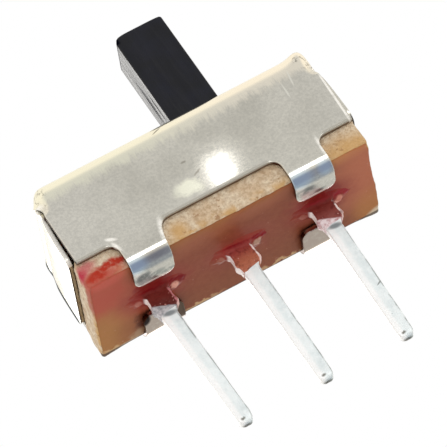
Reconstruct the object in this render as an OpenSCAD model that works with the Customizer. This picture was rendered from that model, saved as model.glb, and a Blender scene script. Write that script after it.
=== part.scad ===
// Miniature through-hole slide switch, two positions, three terminals.
// Z is up and the circuit board that the switch is soldered to lies at z = 0,
// under the folded feet of the shell. The middle terminal stands on the Z axis,
// the terminals line up along X, and the slider travels along X.
// All sizes are in millimetres.

/* [Shell] */
// Length of the shell at its top
shell_l = 8.5; // [8.3:0.02:9.5]
// Width of the shell over its long walls
shell_w = 3.7; // [3.6:0.05:4.5]
// Height of the shell's top above the circuit board
shell_h = 3.8; // [3.7:0.05:4.6]
// Thickness of the tinned sheet steel
sheet_t = 0.2; // [0.15:0.01:0.25]
// Outer radius of the drawn top edges and corners
bend_r = 0.4; // [0.35:0.05:0.6]
// Height of the closed, drawn corners, down from the top to where the slits begin
corner_h = 0.95; // [0.7:0.05:1.3]
// Distance from the outer face of a long wall to the side of an end flap
flap_inset = 0.3; // [0.26:0.02:0.8]
// Distance by which each hanging long wall stops short of the shell's length
wall_end_inset = 0.06; // [0:0.01:0.1]
// Angle by which the end flaps lean outwards, in degrees
flap_splay = 5.5; // [0:0.5:7]
// Length by which the long walls reach down past the top of the base board
wall_lap = 0.23; // [0.05:0.01:0.4]

/* [Crimped feet] */
// Width of each of the four feet that are folded under the base board
foot_w = 1.2; // [0.8:0.05:1.4]
// Spacing of the two feet on one wall, between their centres
foot_spacing = 4.94; // [4.6:0.02:5.4]
// Length of a foot, measured under the base board from the wall's outer face
foot_reach = 1.0; // [0.7:0.02:1.1]
// Radius of the foot's outer corners
foot_corner_r = 0.25; // [0.1:0.05:0.3]
// Radius of the corners where a foot grows out of the wall
foot_root_r = 0.3; // [0.1:0.05:0.35]

/* [Base board] */
// Thickness of the base board
board_t = 1.0; // [0.8:0.05:1.2]
// Distance by which the base board stops short of the shell's length at each end
board_end_inset = 0.01; // [0:0.01:0.1]
// Radius of the base board's lower long edges, which the feet wrap around
board_edge_r = 0.12; // [0.05:0.01:0.2]

/* [Terminals] */
// Spacing of the terminals
pitch = 2.54; // [2.5:0.01:2.6]
// Thickness of the terminal strip
strip_t = 0.3; // [0.25:0.01:0.4]
// Width of a terminal's contact blade, inside the shell
contact_w = 1.5; // [1.3:0.05:1.6]
// Height of the contact blade above the base board
contact_h = 1.4; // [1.2:0.05:1.5]
// Radius of the contact blade's upper corners
contact_corner_r = 0.2; // [0.05:0.05:0.4]
// Width of a terminal where it passes through the base board
stem_w = 1.15; // [1:0.05:1.25]
// Width of the neck just below the base board
neck_w = 0.66; // [0.54:0.02:0.7]
// Length of the neck below the base board
neck_l = 0.6; // [0.3:0.05:0.9]
// Length over which the neck narrows to the pin
neck_taper_l = 0.15; // [0.05:0.01:0.3]
// Width of the solder pin
pin_w = 0.47; // [0.4:0.01:0.52]
// Length of the pin below the base board, with its neck
pin_l = 4.94; // [3:0.02:6]
// Length of the rounded pin tip
tip_l = 0.3; // [0.15:0.01:0.4]
// Distance by which the tips of the outer pins lean towards the middle pin
toe_in = 0.1; // [0:0.02:0.3]
// Part of the pin's width and thickness that is left at the end of the tip
tip_share = 0.5; // [0.3:0.05:0.8]
// Length of each upset ear beside the neck, along the row
ear_l = 0.2; // [0.12:0.01:0.24]
// Distance by which an ear overhangs each side of the strip
ear_lip = 0.06; // [0.02:0.01:0.12]
// Height of the ears under the base board
ear_h = 0.12; // [0.05:0.01:0.17]

/* [Slider] */
// Travel of the slider between its two positions
travel = 2.3; // [1.8:0.1:2.4]
// Length of the handle along the travel
handle_l = 1.5; // [1.2:0.05:1.8]
// Width of the handle across the travel
handle_w = 1.25; // [1.1:0.05:1.6]
// Height of the handle above the shell's top
handle_h = 3.86; // [1.5:0.01:6]
// Rounding of the handle's top edge on the side that it moves towards
handle_lead_r = 0.28; // [0.05:0.01:0.4]
// Rounding of the handle's opposite top edge
handle_rear_r = 0.1; // [0.05:0.01:0.4]
// Clearance between the handle and each end of the slot at the end of its travel
slot_end_gap = 0.05; // [0.02:0.01:0.1]
// Clearance between the handle and each side of the slot
slot_side_gap = 0.06; // [0.02:0.01:0.12]
// Clearance between the carriage and the shell at each end of the travel
carriage_end_gap = 0.25; // [0.1:0.01:0.4]
// Clearance between the carriage and each long wall
carriage_side_gap = 0.08; // [0.04:0.01:0.15]
// Clearance between the carriage and the shell's top
carriage_top_gap = 0.04; // [0.02:0.01:0.06]
// Clearance between the carriage and the base board
carriage_floor_gap = 0.1; // [0.05:0.01:0.2]
// Clearance beside each contact blade in the carriage's groove
groove_side_gap = 0.15; // [0.08:0.01:0.25]
// Clearance above the contact blades in the carriage's groove
groove_top_gap = 0.15; // [0.05:0.01:0.3]

/* [Contact clip] */
// Thickness of the clip's bronze sheet
clip_t = 0.12; // [0.08:0.01:0.15]
// Width of the clip over its two legs
clip_w = 1.2; // [1.1:0.05:1.4]
// Distance from the clip's web down to the tops of the contact blades
clip_headroom = 0.35; // [0.25:0.01:0.4]
// Length of the clip beyond the terminal spacing
clip_overlap = 0.66; // [0.4:0.02:0.9]
// Clearance between a leg of the clip and the contact blade that it wipes
clip_wipe_gap = 0.03; // [0.02:0.01:0.05]
// Depth below the blades' tops at which the legs wipe them
clip_wipe_depth = 0.5; // [0.4:0.05:0.6]
// Length of the flared leg ends below the wiping point
clip_flare_l = 0.4; // [0.2:0.05:0.5]
// Distance by which each leg flares out at its end
clip_flare = 0.15; // [0.05:0.01:0.2]
// Clearance between the clip and each end of its pocket
clip_end_gap = 0.02; // [0.01:0.01:0.05]

/* [Sealing lacquer] */
// Length of each patch of lacquer under the base board
seal_l = 1.75; // [1.5:0.05:2]
// Width of each patch
seal_w = 0.75; // [0.6:0.05:0.9]
// Thickness of each patch
seal_t = 0.08; // [0.03:0.01:0.12]
// Thickness of the film on the neck
film_t = 0.03; // [0.02:0.01:0.05]
// Length of the film on the neck, below the base board
film_l = 0.5; // [0.2:0.05:0.6]

/* [Hidden] */
$fn = 48;
// How far a cutter reaches past what it cuts
over = 1;
board_z0 = sheet_t;                             // the base board lies on the folded feet
board_z1 = board_z0 + board_t;
board_l = shell_l - 2 * board_end_inset;
inner_w = shell_w - 2 * sheet_t;                // the base board fills the width between the walls
wall_z0 = board_z1 - wall_lap;
corner_z = shell_h - corner_h;                  // below this the walls and the flaps hang apart
flap_w = shell_w - 2 * flap_inset;
foot_bend_r = board_edge_r + sheet_t;
slot_l = handle_l + travel + 2 * slot_end_gap;
slot_w = handle_w + 2 * slot_side_gap;
slider_x = travel / 2;                          // the slider rests at its +X end
ceiling_z = shell_h - sheet_t;
carriage_z0 = board_z1 + carriage_floor_gap;
carriage_z1 = ceiling_z - carriage_top_gap;
carriage_w = inner_w - 2 * carriage_side_gap;
carriage_l = shell_l - 2 * sheet_t - travel - 2 * carriage_end_gap;
blade_z1 = board_z1 + contact_h;
clip_z1 = blade_z1 + clip_headroom + clip_t;
clip_l = pitch + clip_overlap;
wipe_z = blade_z1 - clip_wipe_depth;
wipe_y = strip_t / 2 + clip_wipe_gap;
leg_z0 = wipe_z - clip_flare_l;
ear_x = (stem_w - ear_l) / 2;
TERMINAL_X = [-pitch, 0, pitch];

// Turns a drawing in (y, z) into a bar along X, centred on the origin.
module bar_x(length) {
    rotate([90, 0, 90]) translate([0, 0, -length / 2]) linear_extrude(length) children();
}

// Turns a drawing in (x, z) into a plate across Y, centred on the origin.
module plate_y(thickness) {
    rotate([90, 0, 0]) translate([0, 0, -thickness / 2]) linear_extrude(thickness) children();
}

// A block standing from z0 to z1, centred on the origin in X and Y.
module post(size_x, size_y, z0, z1) {
    translate([-size_x / 2, -size_y / 2, z0]) cube([size_x, size_y, z1 - z0]);
}

// An arch outline: w wide, from z0 to z1, with its two upper corners rounded to r.
module arch(w, z0, z1, r) {
    translate([-w / 2, z0]) square([w, z1 - r - z0]);
    translate([-w / 2 + r, z0]) square([w - 2 * r, z1 - z0]);
    for (side = [-1, 1]) translate([side * (w / 2 - r), z1 - r]) circle(r);
}

// The same outline with a different radius at each upper corner.
module uneven_arch(w, z0, z1, r_left, r_right) {
    r_max = max(r_left, r_right);
    translate([-w / 2, z0]) square([w, z1 - r_max - z0]);
    translate([-w / 2 + r_left, z0]) square([w - r_left - r_right, z1 - z0]);
    translate([-w / 2, z0]) square([r_left, z1 - r_left - z0]);
    translate([w / 2 - r_right, z0]) square([r_right, z1 - r_right - z0]);
    translate([-w / 2 + r_left, z1 - r_left]) circle(r_left);
    translate([w / 2 - r_right, z1 - r_right]) circle(r_right);
}

// A block from z0 to z1 with every upper edge and every corner rounded to r.
module drawn_block(length, width, z0, z1, r) {
    intersection() {
        union() {
            post(length - 2 * r, width - 2 * r, z0, z1);
            post(length, width - 2 * r, z0, z1 - r);
            post(length - 2 * r, width, z0, z1 - r);
            for (y = [-1, 1]) translate([0, y * (width / 2 - r), z1 - r]) {
                bar_x(length - 2 * r) circle(r);
                for (x = [-1, 1]) translate([x * (length / 2 - r), 0, 0]) {
                    sphere(r);
                    translate([0, 0, z0 - z1 + r]) cylinder(h = z1 - r - z0, r = r);
                }
            }
            for (x = [-1, 1]) translate([x * (length / 2 - r), 0, z1 - r])
                plate_y(width - 2 * r) circle(r);
        }
        post(length + over, width + over, z0, z1 + over);
    }
}

// The drawn cap: the top with its rounded edges and closed corners.
module cap() {
    difference() {
        drawn_block(shell_l, shell_w, corner_z, shell_h, bend_r);
        drawn_block(shell_l - 2 * sheet_t, inner_w, corner_z - over, ceiling_z, bend_r - sheet_t);
    }
}

// One long wall below the drawn corners, on the -Y side. Between the corners it runs up into the cap.
module long_wall() {
    translate([0, (sheet_t - shell_w) / 2, 0]) {
        post(shell_l - 2 * wall_end_inset, sheet_t, wall_z0, corner_z);
        post(shell_l - 2 * bend_r, sheet_t, wall_z0, corner_z + sheet_t);
    }
}

// One end flap, which runs down out of the cap, leans outwards and ends level on the base board.
module flap() {
    x1 = shell_l / 2;
    x0 = x1 - sheet_t;
    lean = (corner_z - board_z1) * tan(flap_splay);
    plate_y(flap_w)
        polygon([[x0, corner_z + sheet_t], [x1, corner_z + sheet_t], [x1, corner_z],
                 [x1 + lean, board_z1], [x0 + lean, board_z1], [x0, corner_z]]);
}

// Front view of a foot's upper part, with filled corners where it joins the wall.
module foot_outline() {
    translate([-foot_w / 2, foot_bend_r]) square([foot_w, wall_z0 - foot_bend_r + sheet_t]);
    for (side = [-1, 1]) translate([side * (foot_w + foot_root_r) / 2, wall_z0]) difference() {
        translate([-foot_root_r / 2, -foot_root_r]) square([foot_root_r, foot_root_r + sheet_t]);
        translate([side * foot_root_r / 2, -foot_root_r]) circle(foot_root_r);
    }
}

// Plan of the part of a foot that lies under the base board.
module foot_plan() {
    flat_l = foot_reach - foot_bend_r;
    translate([-foot_w / 2, 0]) square([foot_w, flat_l - foot_corner_r]);
    translate([-foot_w / 2 + foot_corner_r, 0]) square([foot_w - 2 * foot_corner_r, flat_l]);
    for (side = [-1, 1])
        translate([side * (foot_w / 2 - foot_corner_r), flat_l - foot_corner_r]) circle(foot_corner_r);
}

// One crimped foot on the -Y wall, centred on x = 0.
module foot() {
    translate([0, (sheet_t - shell_w) / 2, 0]) plate_y(sheet_t) foot_outline();
    translate([0, foot_bend_r - shell_w / 2, 0]) {
        bar_x(foot_w) translate([0, foot_bend_r]) difference() {
            intersection() {
                circle(foot_bend_r);
                translate([-foot_bend_r, -foot_bend_r]) square(foot_bend_r);
            }
            circle(board_edge_r);
        }
        linear_extrude(sheet_t) foot_plan();
    }
}

module shell() {
    color("#c6c3b8") difference() {
        union() {
            cap();
            for (end = [0, 1]) mirror([end, 0, 0]) flap();
            for (wall = [0, 1]) mirror([0, wall, 0]) long_wall();
            for (wall = [0, 1], side = [-1, 1]) mirror([0, wall, 0])
                translate([side * foot_spacing / 2, 0, 0]) foot();
        }
        post(slot_l, slot_w, ceiling_z - over, shell_h + over);
    }
}

module base_board() {
    color("#96563b") difference() {
        mirror([0, 0, 1]) bar_x(board_l) arch(inner_w, -board_z1, -board_z0, board_edge_r);
        for (x = TERMINAL_X) translate([x, 0, 0])
            post(stem_w, strip_t, board_z0 - over, board_z1 + over);
    }
}

// Front view of a terminal: contact blade, stem, neck and pin. The tip is moved by lean.
module terminal_outline(lean) {
    neck_z = board_z0 - neck_l;
    pin_z1 = neck_z - neck_taper_l;
    pin_z0 = board_z0 - pin_l;
    tip_z1 = pin_z0 + tip_l;
    shift = lean * (pin_z1 - tip_z1) / (pin_z1 - pin_z0);
    end_w = tip_share * pin_w;
    arch(contact_w, board_z1, blade_z1, contact_corner_r);
    translate([-stem_w / 2, board_z0]) square([stem_w, board_t]);
    polygon([[-neck_w / 2, board_z0], [-neck_w / 2, neck_z], [-pin_w / 2, pin_z1],
             [shift - pin_w / 2, tip_z1], [lean - end_w / 2, pin_z0], [lean + end_w / 2, pin_z0],
             [shift + pin_w / 2, tip_z1], [pin_w / 2, pin_z1], [neck_w / 2, neck_z],
             [neck_w / 2, board_z0]]);
}

// Side view of a terminal, (y, z): the strip, thinned at the pin's tip.
module strip_outline() {
    pin_z0 = board_z0 - pin_l;
    polygon([[-strip_t / 2, blade_z1], [-strip_t / 2, pin_z0 + tip_l],
             [-tip_share * strip_t / 2, pin_z0], [tip_share * strip_t / 2, pin_z0],
             [strip_t / 2, pin_z0 + tip_l], [strip_t / 2, blade_z1]]);
}

// The two upset ears that lock a terminal under the base board.
module ears() {
    for (side = [-1, 1]) translate([side * ear_x, 0, 0])
        post(ear_l, strip_t + 2 * ear_lip, board_z0 - ear_h, board_z0);
}

module terminal(x) {
    color("#dfe3e4") translate([x, 0, 0]) {
        intersection() {
            plate_y(strip_t) terminal_outline(-sign(x) * toe_in);
            bar_x(contact_w) strip_outline();
        }
        ears();
    }
}

// An oval: a strip with two round ends.
module oval(length, width) {
    square([length - width, width], center = true);
    for (side = [-1, 1]) translate([side * (length - width) / 2, 0]) circle(width / 2);
}

module seal(x) {
    color("#7a1616") translate([x, 0, 0]) difference() {
        union() {
            translate([0, 0, board_z0 - seal_t]) linear_extrude(seal_t) oval(seal_l, seal_w);
            post(neck_w + 2 * film_t, strip_t + 2 * film_t, board_z0 - film_l, board_z0);
        }
        post(neck_w, strip_t, board_z0 - film_l - over, board_z0 + over);
        ears();
    }
}

// The slider in its own place, centred on x = 0.
module slider_body() {
    difference() {
        union() {
            bar_x(carriage_l) arch(carriage_w, carriage_z0, carriage_z1, bend_r - sheet_t);
            plate_y(handle_w)
                uneven_arch(handle_l, carriage_z1, shell_h + handle_h, handle_lead_r, handle_rear_r);
        }
        post(carriage_l + over, strip_t + 2 * groove_side_gap, carriage_z0 - over, blade_z1 + groove_top_gap);
        post(clip_l + 2 * clip_end_gap, clip_w, carriage_z0 - over, clip_z1);
    }
}

module slider() {
    color("#2a2a2f") translate([slider_x, 0, 0]) slider_body();
}

// Section of the clip, (y, z): a web with two legs that pinch the contact blades.
module clip_outline() {
    half_w = clip_w / 2;
    shoulder_z = clip_z1 - 3 * clip_t;
    leg = [[half_w, clip_z1], [half_w, shoulder_z], [wipe_y + clip_t, wipe_z],
           [wipe_y + clip_flare + clip_t, leg_z0], [wipe_y + clip_flare, leg_z0], [wipe_y, wipe_z],
           [half_w - clip_t, shoulder_z], [half_w - clip_t, clip_z1 - clip_t]];
    other_leg = [for (i = [len(leg) - 1 : -1 : 0]) [-leg[i][0], leg[i][1]]];
    polygon(concat(leg, other_leg));
}

module contact_clip() {
    color("#b8804a") translate([slider_x, 0, 0]) bar_x(clip_l) clip_outline();
}

shell();
base_board();
terminal(TERMINAL_X[0]);  // terminal_left
terminal(TERMINAL_X[1]);  // terminal_middle
terminal(TERMINAL_X[2]);  // terminal_right
seal(TERMINAL_X[0]);  // seal_left
seal(TERMINAL_X[1]);  // seal_middle
seal(TERMINAL_X[2]);  // seal_right
slider();
contact_clip();
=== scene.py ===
"""Looks of a miniature slide switch.

A shell of tinned sheet steel is crimped over a punched board of phenolic paper. Three plated
terminals are staked through the board and sealed with red lacquer, and a black moulded slider
reaches out of the shell's slot. Every size below is in millimetres.
"""

import logging
import math
from dataclasses import dataclass, field
from enum import Enum
from functools import cached_property, reduce
from typing import Any, Sequence

import bmesh
import bpy
import numpy as np
from mathutils import Matrix, Vector


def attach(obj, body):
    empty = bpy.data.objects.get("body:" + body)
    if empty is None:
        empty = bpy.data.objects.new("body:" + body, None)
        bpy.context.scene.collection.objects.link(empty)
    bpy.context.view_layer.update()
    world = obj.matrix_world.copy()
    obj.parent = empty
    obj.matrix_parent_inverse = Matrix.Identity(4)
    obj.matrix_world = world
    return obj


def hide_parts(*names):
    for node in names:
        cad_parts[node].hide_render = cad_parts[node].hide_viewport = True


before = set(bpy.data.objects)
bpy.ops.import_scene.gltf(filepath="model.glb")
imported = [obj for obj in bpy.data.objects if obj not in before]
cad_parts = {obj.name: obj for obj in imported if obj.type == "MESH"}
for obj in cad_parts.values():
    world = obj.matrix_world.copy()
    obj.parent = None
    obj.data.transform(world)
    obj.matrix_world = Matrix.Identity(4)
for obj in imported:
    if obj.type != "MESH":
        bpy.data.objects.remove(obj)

MM = 0.001
WELD = 1e-4
CLOSE = 1e-9
LOG = logging.getLogger("slide_switch")
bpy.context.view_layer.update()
PITCH = 2.54
TERMINAL_X = (-PITCH, 0.0, PITCH)
TERMINAL_NAMES = ("left", "middle", "right")
FOOT_X = (-2.47, 2.47)
BOARD_LENGTH = 8.48


class Body(Enum):
    """The two rigid bodies of the switch."""

    BASE = "base"
    SLIDER = "slider"


class Slot(Enum):
    """The record's material slots."""

    TINPLATE = "tinplate"
    BOARD = "phenolic_board"
    PLATING = "terminal_plating"
    LACQUER = "sealing_lacquer"
    PLASTIC = "slider_plastic"
    BRONZE = "clip_bronze"


# ---------------------------------------------------------------- numbers and colours


def linear(code: str) -> tuple[float, float, float, float]:
    """Turns an sRGB colour into a linear one.

    Args:
        code: The colour as "#rrggbb".

    Returns:
        Red, green and blue, linear, and an alpha of 1.
    """
    levels = [int(code[i:i + 2], 16) / 255 for i in (1, 3, 5)]
    red, green, blue = (c / 12.92 if c <= 0.04045 else ((c + 0.055) / 1.055) ** 2.4 for c in levels)
    return red, green, blue, 1.0


def smooth(t: np.ndarray) -> np.ndarray:
    """Clamps t to 0..1 and eases it at both ends: 3t^2 - 2t^3."""
    t = np.clip(t, 0.0, 1.0)
    return t * t * (3.0 - 2.0 * t)


def lattice_noise(points: np.ndarray, grain: float, seed: int) -> np.ndarray:
    """Smooth noise: random numbers at the corners of a cubic lattice, blended between them.

    Args:
        points: Positions, (..., 3).
        grain: Edge of one lattice cell.
        seed: Picks the set of random numbers.

    Returns:
        One value from -1 to 1 for each position.
    """
    scaled = points / grain + 1000.0
    cell = np.floor(scaled).astype(np.int64)
    part = scaled - cell
    part = part * part * (3.0 - 2.0 * part)
    total = np.zeros(points.shape[:-1])
    for corner in np.ndindex(2, 2, 2):
        at = cell + np.array(corner)
        mixed = (at[..., 0] * 73856093) ^ (at[..., 1] * 19349663) ^ (at[..., 2] * 83492791)
        mixed = mixed ^ (seed * 2654435761)
        mixed = (mixed ^ (mixed >> 13)) * 1274126177
        value = ((mixed ^ (mixed >> 16)) & 0xFFFF) / 32767.5 - 1.0
        weight = np.prod(np.where(np.array(corner) == 1, part, 1.0 - part), axis=-1)
        total += value * weight
    return total


def lines(*stops: float, steps: Sequence[int]) -> np.ndarray:
    """Returns grid lines through the stops, with the given number of equal steps between each two."""
    parts = [np.linspace(a, b, n + 1)[:-1] for a, b, n in zip(stops, stops[1:], steps)]
    return np.concatenate(parts + [np.array([stops[-1]])])


def stack(x: Any, y: Any, z: Any) -> np.ndarray:
    """Broadcasts three coordinates against each other and joins them into points."""
    return np.stack(np.broadcast_arrays(x, y, z), axis=-1).astype(float)


def ring(half_x: np.ndarray, half_y: np.ndarray, corner: np.ndarray,
         turns: int = 5, sides: int = 6) -> np.ndarray:
    """Rounded rectangles, one for each row: four quarter circles joined by straight sides.

    Args:
        half_x: Half of each rectangle's size along x, (rows,).
        half_y: Half of its size along y, (rows,).
        corner: Its corner radius, (rows,).
        turns: Steps in each quarter circle.
        sides: Steps along each straight side.

    Returns:
        Points x, y of shape (rows, columns, 2); the last column repeats the first.
    """
    half_x, half_y, corner = (np.atleast_1d(np.asarray(v, float))[:, None] for v in (half_x, half_y, corner))
    corner = np.minimum(corner, np.minimum(half_x, half_y))
    angle = np.linspace(0.0, np.pi / 2, turns + 1)
    angles = np.concatenate([angle + q * np.pi / 2 for q in range(4)])
    sign_x = np.repeat([1.0, -1.0, -1.0, 1.0], turns + 1)
    sign_y = np.repeat([1.0, 1.0, -1.0, -1.0], turns + 1)
    x = sign_x * (half_x - corner) + corner * np.cos(angles)
    y = sign_y * (half_y - corner) + corner * np.sin(angles)
    x, y = (np.concatenate([v, v[:, :1]], axis=1) for v in (x, y))
    last = (turns + 1) * np.arange(1, 5) - 1
    place = [np.arange(x.shape[1], dtype=float)]
    place += [i + np.linspace(0.0, 1.0, sides + 1)[1:-1] for i in last]
    place = np.sort(np.concatenate(place))
    low = np.minimum(np.floor(place).astype(int), x.shape[1] - 2)
    part = place - low
    return np.stack([v[:, low] * (1 - part) + v[:, low + 1] * part for v in (x, y)], axis=-1)


# ---------------------------------------------------------------- surfaces


@dataclass
class Surface:
    """A surface gathered from grids of points, welded where they meet."""

    points: list = field(default_factory=list)
    faces: list = field(default_factory=list)
    values: dict = field(default_factory=dict)
    count: int = 0

    def grid(self, points: np.ndarray, values: dict | None = None,
             away_from: Sequence[float] | None = None) -> None:
        """Adds one grid of points as rows of four-cornered faces.

        Args:
            points: The grid, (rows, columns, 3).
            values: Name of each attribute to its value at each point, (rows, columns).
            away_from: A point inside the piece, which the faces turn their backs on.
        """
        rows, columns = points.shape[:2]
        index = np.arange(rows * columns).reshape(rows, columns) + self.count
        faces = np.stack([index[:-1, :-1], index[:-1, 1:], index[1:, 1:], index[1:, :-1]], axis=-1)
        faces = faces.reshape(-1, 4)
        flat = points.reshape(-1, 3)
        if away_from is not None:
            corners = flat[faces - self.count]
            normal = np.cross(corners[:, 2] - corners[:, 0], corners[:, 3] - corners[:, 1])
            outward = corners.mean(axis=1) - np.asarray(away_from, float)
            if (normal * outward).sum() < 0:
                faces = faces[:, ::-1]
        self.points.append(flat)
        self.faces.append(faces)
        for name, value in (values or {}).items():
            self.values.setdefault(name, []).append(value.reshape(-1))
        self.count += rows * columns

    def build(self, name: str, closed: bool = True, sharp: float = 35.0) -> bpy.types.Object:
        """Welds the grids and makes them an object at the origin.

        Args:
            name: The piece's name.
            closed: Whether the surface closes on itself, so that its outside can be worked out.
            sharp: Angle between faces, in degrees, above which an edge is drawn sharp.

        Returns:
            The new object, linked to the scene.
        """
        points, faces = np.concatenate(self.points), np.concatenate(self.faces)
        _, first, welded = np.unique(np.round(points / WELD).astype(np.int64), axis=0,
                                     return_index=True, return_inverse=True)
        faces = welded.reshape(-1)[faces]
        kept = faces != np.roll(faces, -1, axis=1)
        real = kept.sum(axis=1) >= 3
        faces, kept = faces[real], kept[real]
        totals = kept.sum(axis=1)
        mesh = bpy.data.meshes.new(name)
        mesh.vertices.add(len(first))
        mesh.vertices.foreach_set("co", (points[first] * MM).astype(np.float32).ravel())
        mesh.loops.add(int(totals.sum()))
        mesh.loops.foreach_set("vertex_index", faces[kept].astype(np.int32))
        mesh.polygons.add(len(faces))
        mesh.polygons.foreach_set("loop_start", (np.cumsum(totals) - totals).astype(np.int32))
        mesh.polygons.foreach_set("loop_total", totals.astype(np.int32))
        mesh.polygons.foreach_set("use_smooth", np.ones(len(faces), bool))
        mesh.update(calc_edges=True)
        for attribute, parts in self.values.items():
            layer = mesh.attributes.new(attribute, "FLOAT", "POINT")
            layer.data.foreach_set("value", np.concatenate(parts)[first].astype(np.float32))
        mesh.validate()
        if closed:
            work = bmesh.new()
            work.from_mesh(mesh)
            bmesh.ops.recalc_face_normals(work, faces=work.faces)
            work.to_mesh(mesh)
            work.free()
        mesh.set_sharp_from_angle(angle=math.radians(sharp))
        made = bpy.data.objects.new(name, mesh)
        bpy.context.scene.collection.objects.link(made)
        return made


def dress(piece: bpy.types.Object, finish: "Finish", body: Body, *nodes: str) -> None:
    """Gives a piece its finish, lets it ride on its body and stand for CAD nodes, and logs it.

    Args:
        piece: The finished object.
        finish: What its surface is made of.
        body: The body that it moves with.
        nodes: The CAD nodes that it stands for.
    """
    piece.data.materials.append(finish.material())
    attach(piece, body.value)
    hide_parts(*nodes)
    count = len(piece.data.polygons)
    LOG.info("%s: %d faces on %s, for %s", piece.name, count, body.value, ", ".join(nodes))


def thicken(piece: bpy.types.Object, thickness: float) -> None:
    """Gives a sheet its thickness, inwards from the surface that was built."""
    wall = piece.modifiers.new("thickness", "SOLIDIFY")
    wall.thickness, wall.offset, wall.use_rim, wall.use_even_offset = thickness * MM, -1.0, True, True


def soften(piece: bpy.types.Object, width: float, angle: float = 50.0) -> None:
    """Breaks a piece's sharp edges, as tumbling and plating do.

    Args:
        piece: The piece.
        width: How much of each edge goes, in millimetres.
        angle: Angle between faces, in degrees, above which an edge is broken.
    """
    edge = piece.modifiers.new("edges", "BEVEL")
    edge.width, edge.segments, edge.limit_method = width * MM, 3, "ANGLE"
    edge.angle_limit, edge.harden_normals, edge.use_clamp_overlap = math.radians(angle), True, True


# ---------------------------------------------------------------- finishes


class Node(Enum):
    """The kinds of node in use: type, the sockets that take values, the one with the result, and settings."""

    ADD = ("Math", (0, 1), 0, {"operation": "ADD"})
    SUBTRACT = ("Math", (0, 1), 0, {"operation": "SUBTRACT"})
    MULTIPLY = ("Math", (0, 1), 0, {"operation": "MULTIPLY"})
    DIVIDE = ("Math", (0, 1), 0, {"operation": "DIVIDE"})
    LARGER = ("Math", (0, 1), 0, {"operation": "MAXIMUM"})
    MULTIPLY_ADD = ("Math", (0, 1, 2), 0, {"operation": "MULTIPLY_ADD"})
    ROUND = ("Math", (0,), 0, {"operation": "ROUND"})
    ABSOLUTE = ("Math", (0,), 0, {"operation": "ABSOLUTE"})
    EASE = ("MapRange", (0, 1, 2, 3, 4), 0, {"interpolation_type": "SMOOTHSTEP"})
    MIX = ("Mix", (0, 6, 7), 2, {"data_type": "RGBA"})
    RAMP = ("ValToRGB", (0,), 0, {})
    NOISE = ("TexNoise", ("Vector", "Scale", "Detail", "Roughness"), 0, {})
    SPLIT = ("SeparateXYZ", (0,), None, {})
    JOIN = ("CombineXYZ", (0, 1, 2), 0, {})
    SHIFT = ("VectorMath", (0, 1), 0, {"operation": "ADD"})
    SCALE = ("VectorMath", (0, "Scale"), 0, {"operation": "SCALE"})
    FOLD = ("VectorMath", (0,), 0, {"operation": "ABSOLUTE"})
    LENGTH = ("VectorMath", (0,), "Value", {"operation": "LENGTH"})
    ALONG = ("VectorMath", (0, 1), "Value", {"operation": "DOT_PRODUCT"})
    STRETCH = ("Mapping", (0, 3), 0, {})
    INTO = ("Mapping", (0, 1, 2, 3), 0, {"vector_type": "TEXTURE"})
    PLACE = ("TexCoord", (), None, {})
    GEOMETRY = ("NewGeometry", (), None, {})
    ATTRIBUTE = ("Attribute", (), "Fac", {})
    RAY = ("LightPath", (), None, {})
    WORN = ("Bevel", ("Radius",), 0, {"samples": 6})
    BUMP = ("Bump", ("Strength", "Distance", "Height", "Normal"), 0, {})
    SHADER = ("BsdfPrincipled", (), 0, {})
    DIFFUSE = ("BsdfDiffuse", (0,), 0, {})
    CLEAR = ("BsdfTransparent", (), 0, {})
    EITHER = ("MixShader", (0, 1, 2), 0, {})
    BACKGROUND = ("Background", (0, 1), 0, {})
    MATERIAL = ("OutputMaterial", (0,), None, {})
    WORLD = ("OutputWorld", (0,), None, {})


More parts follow.
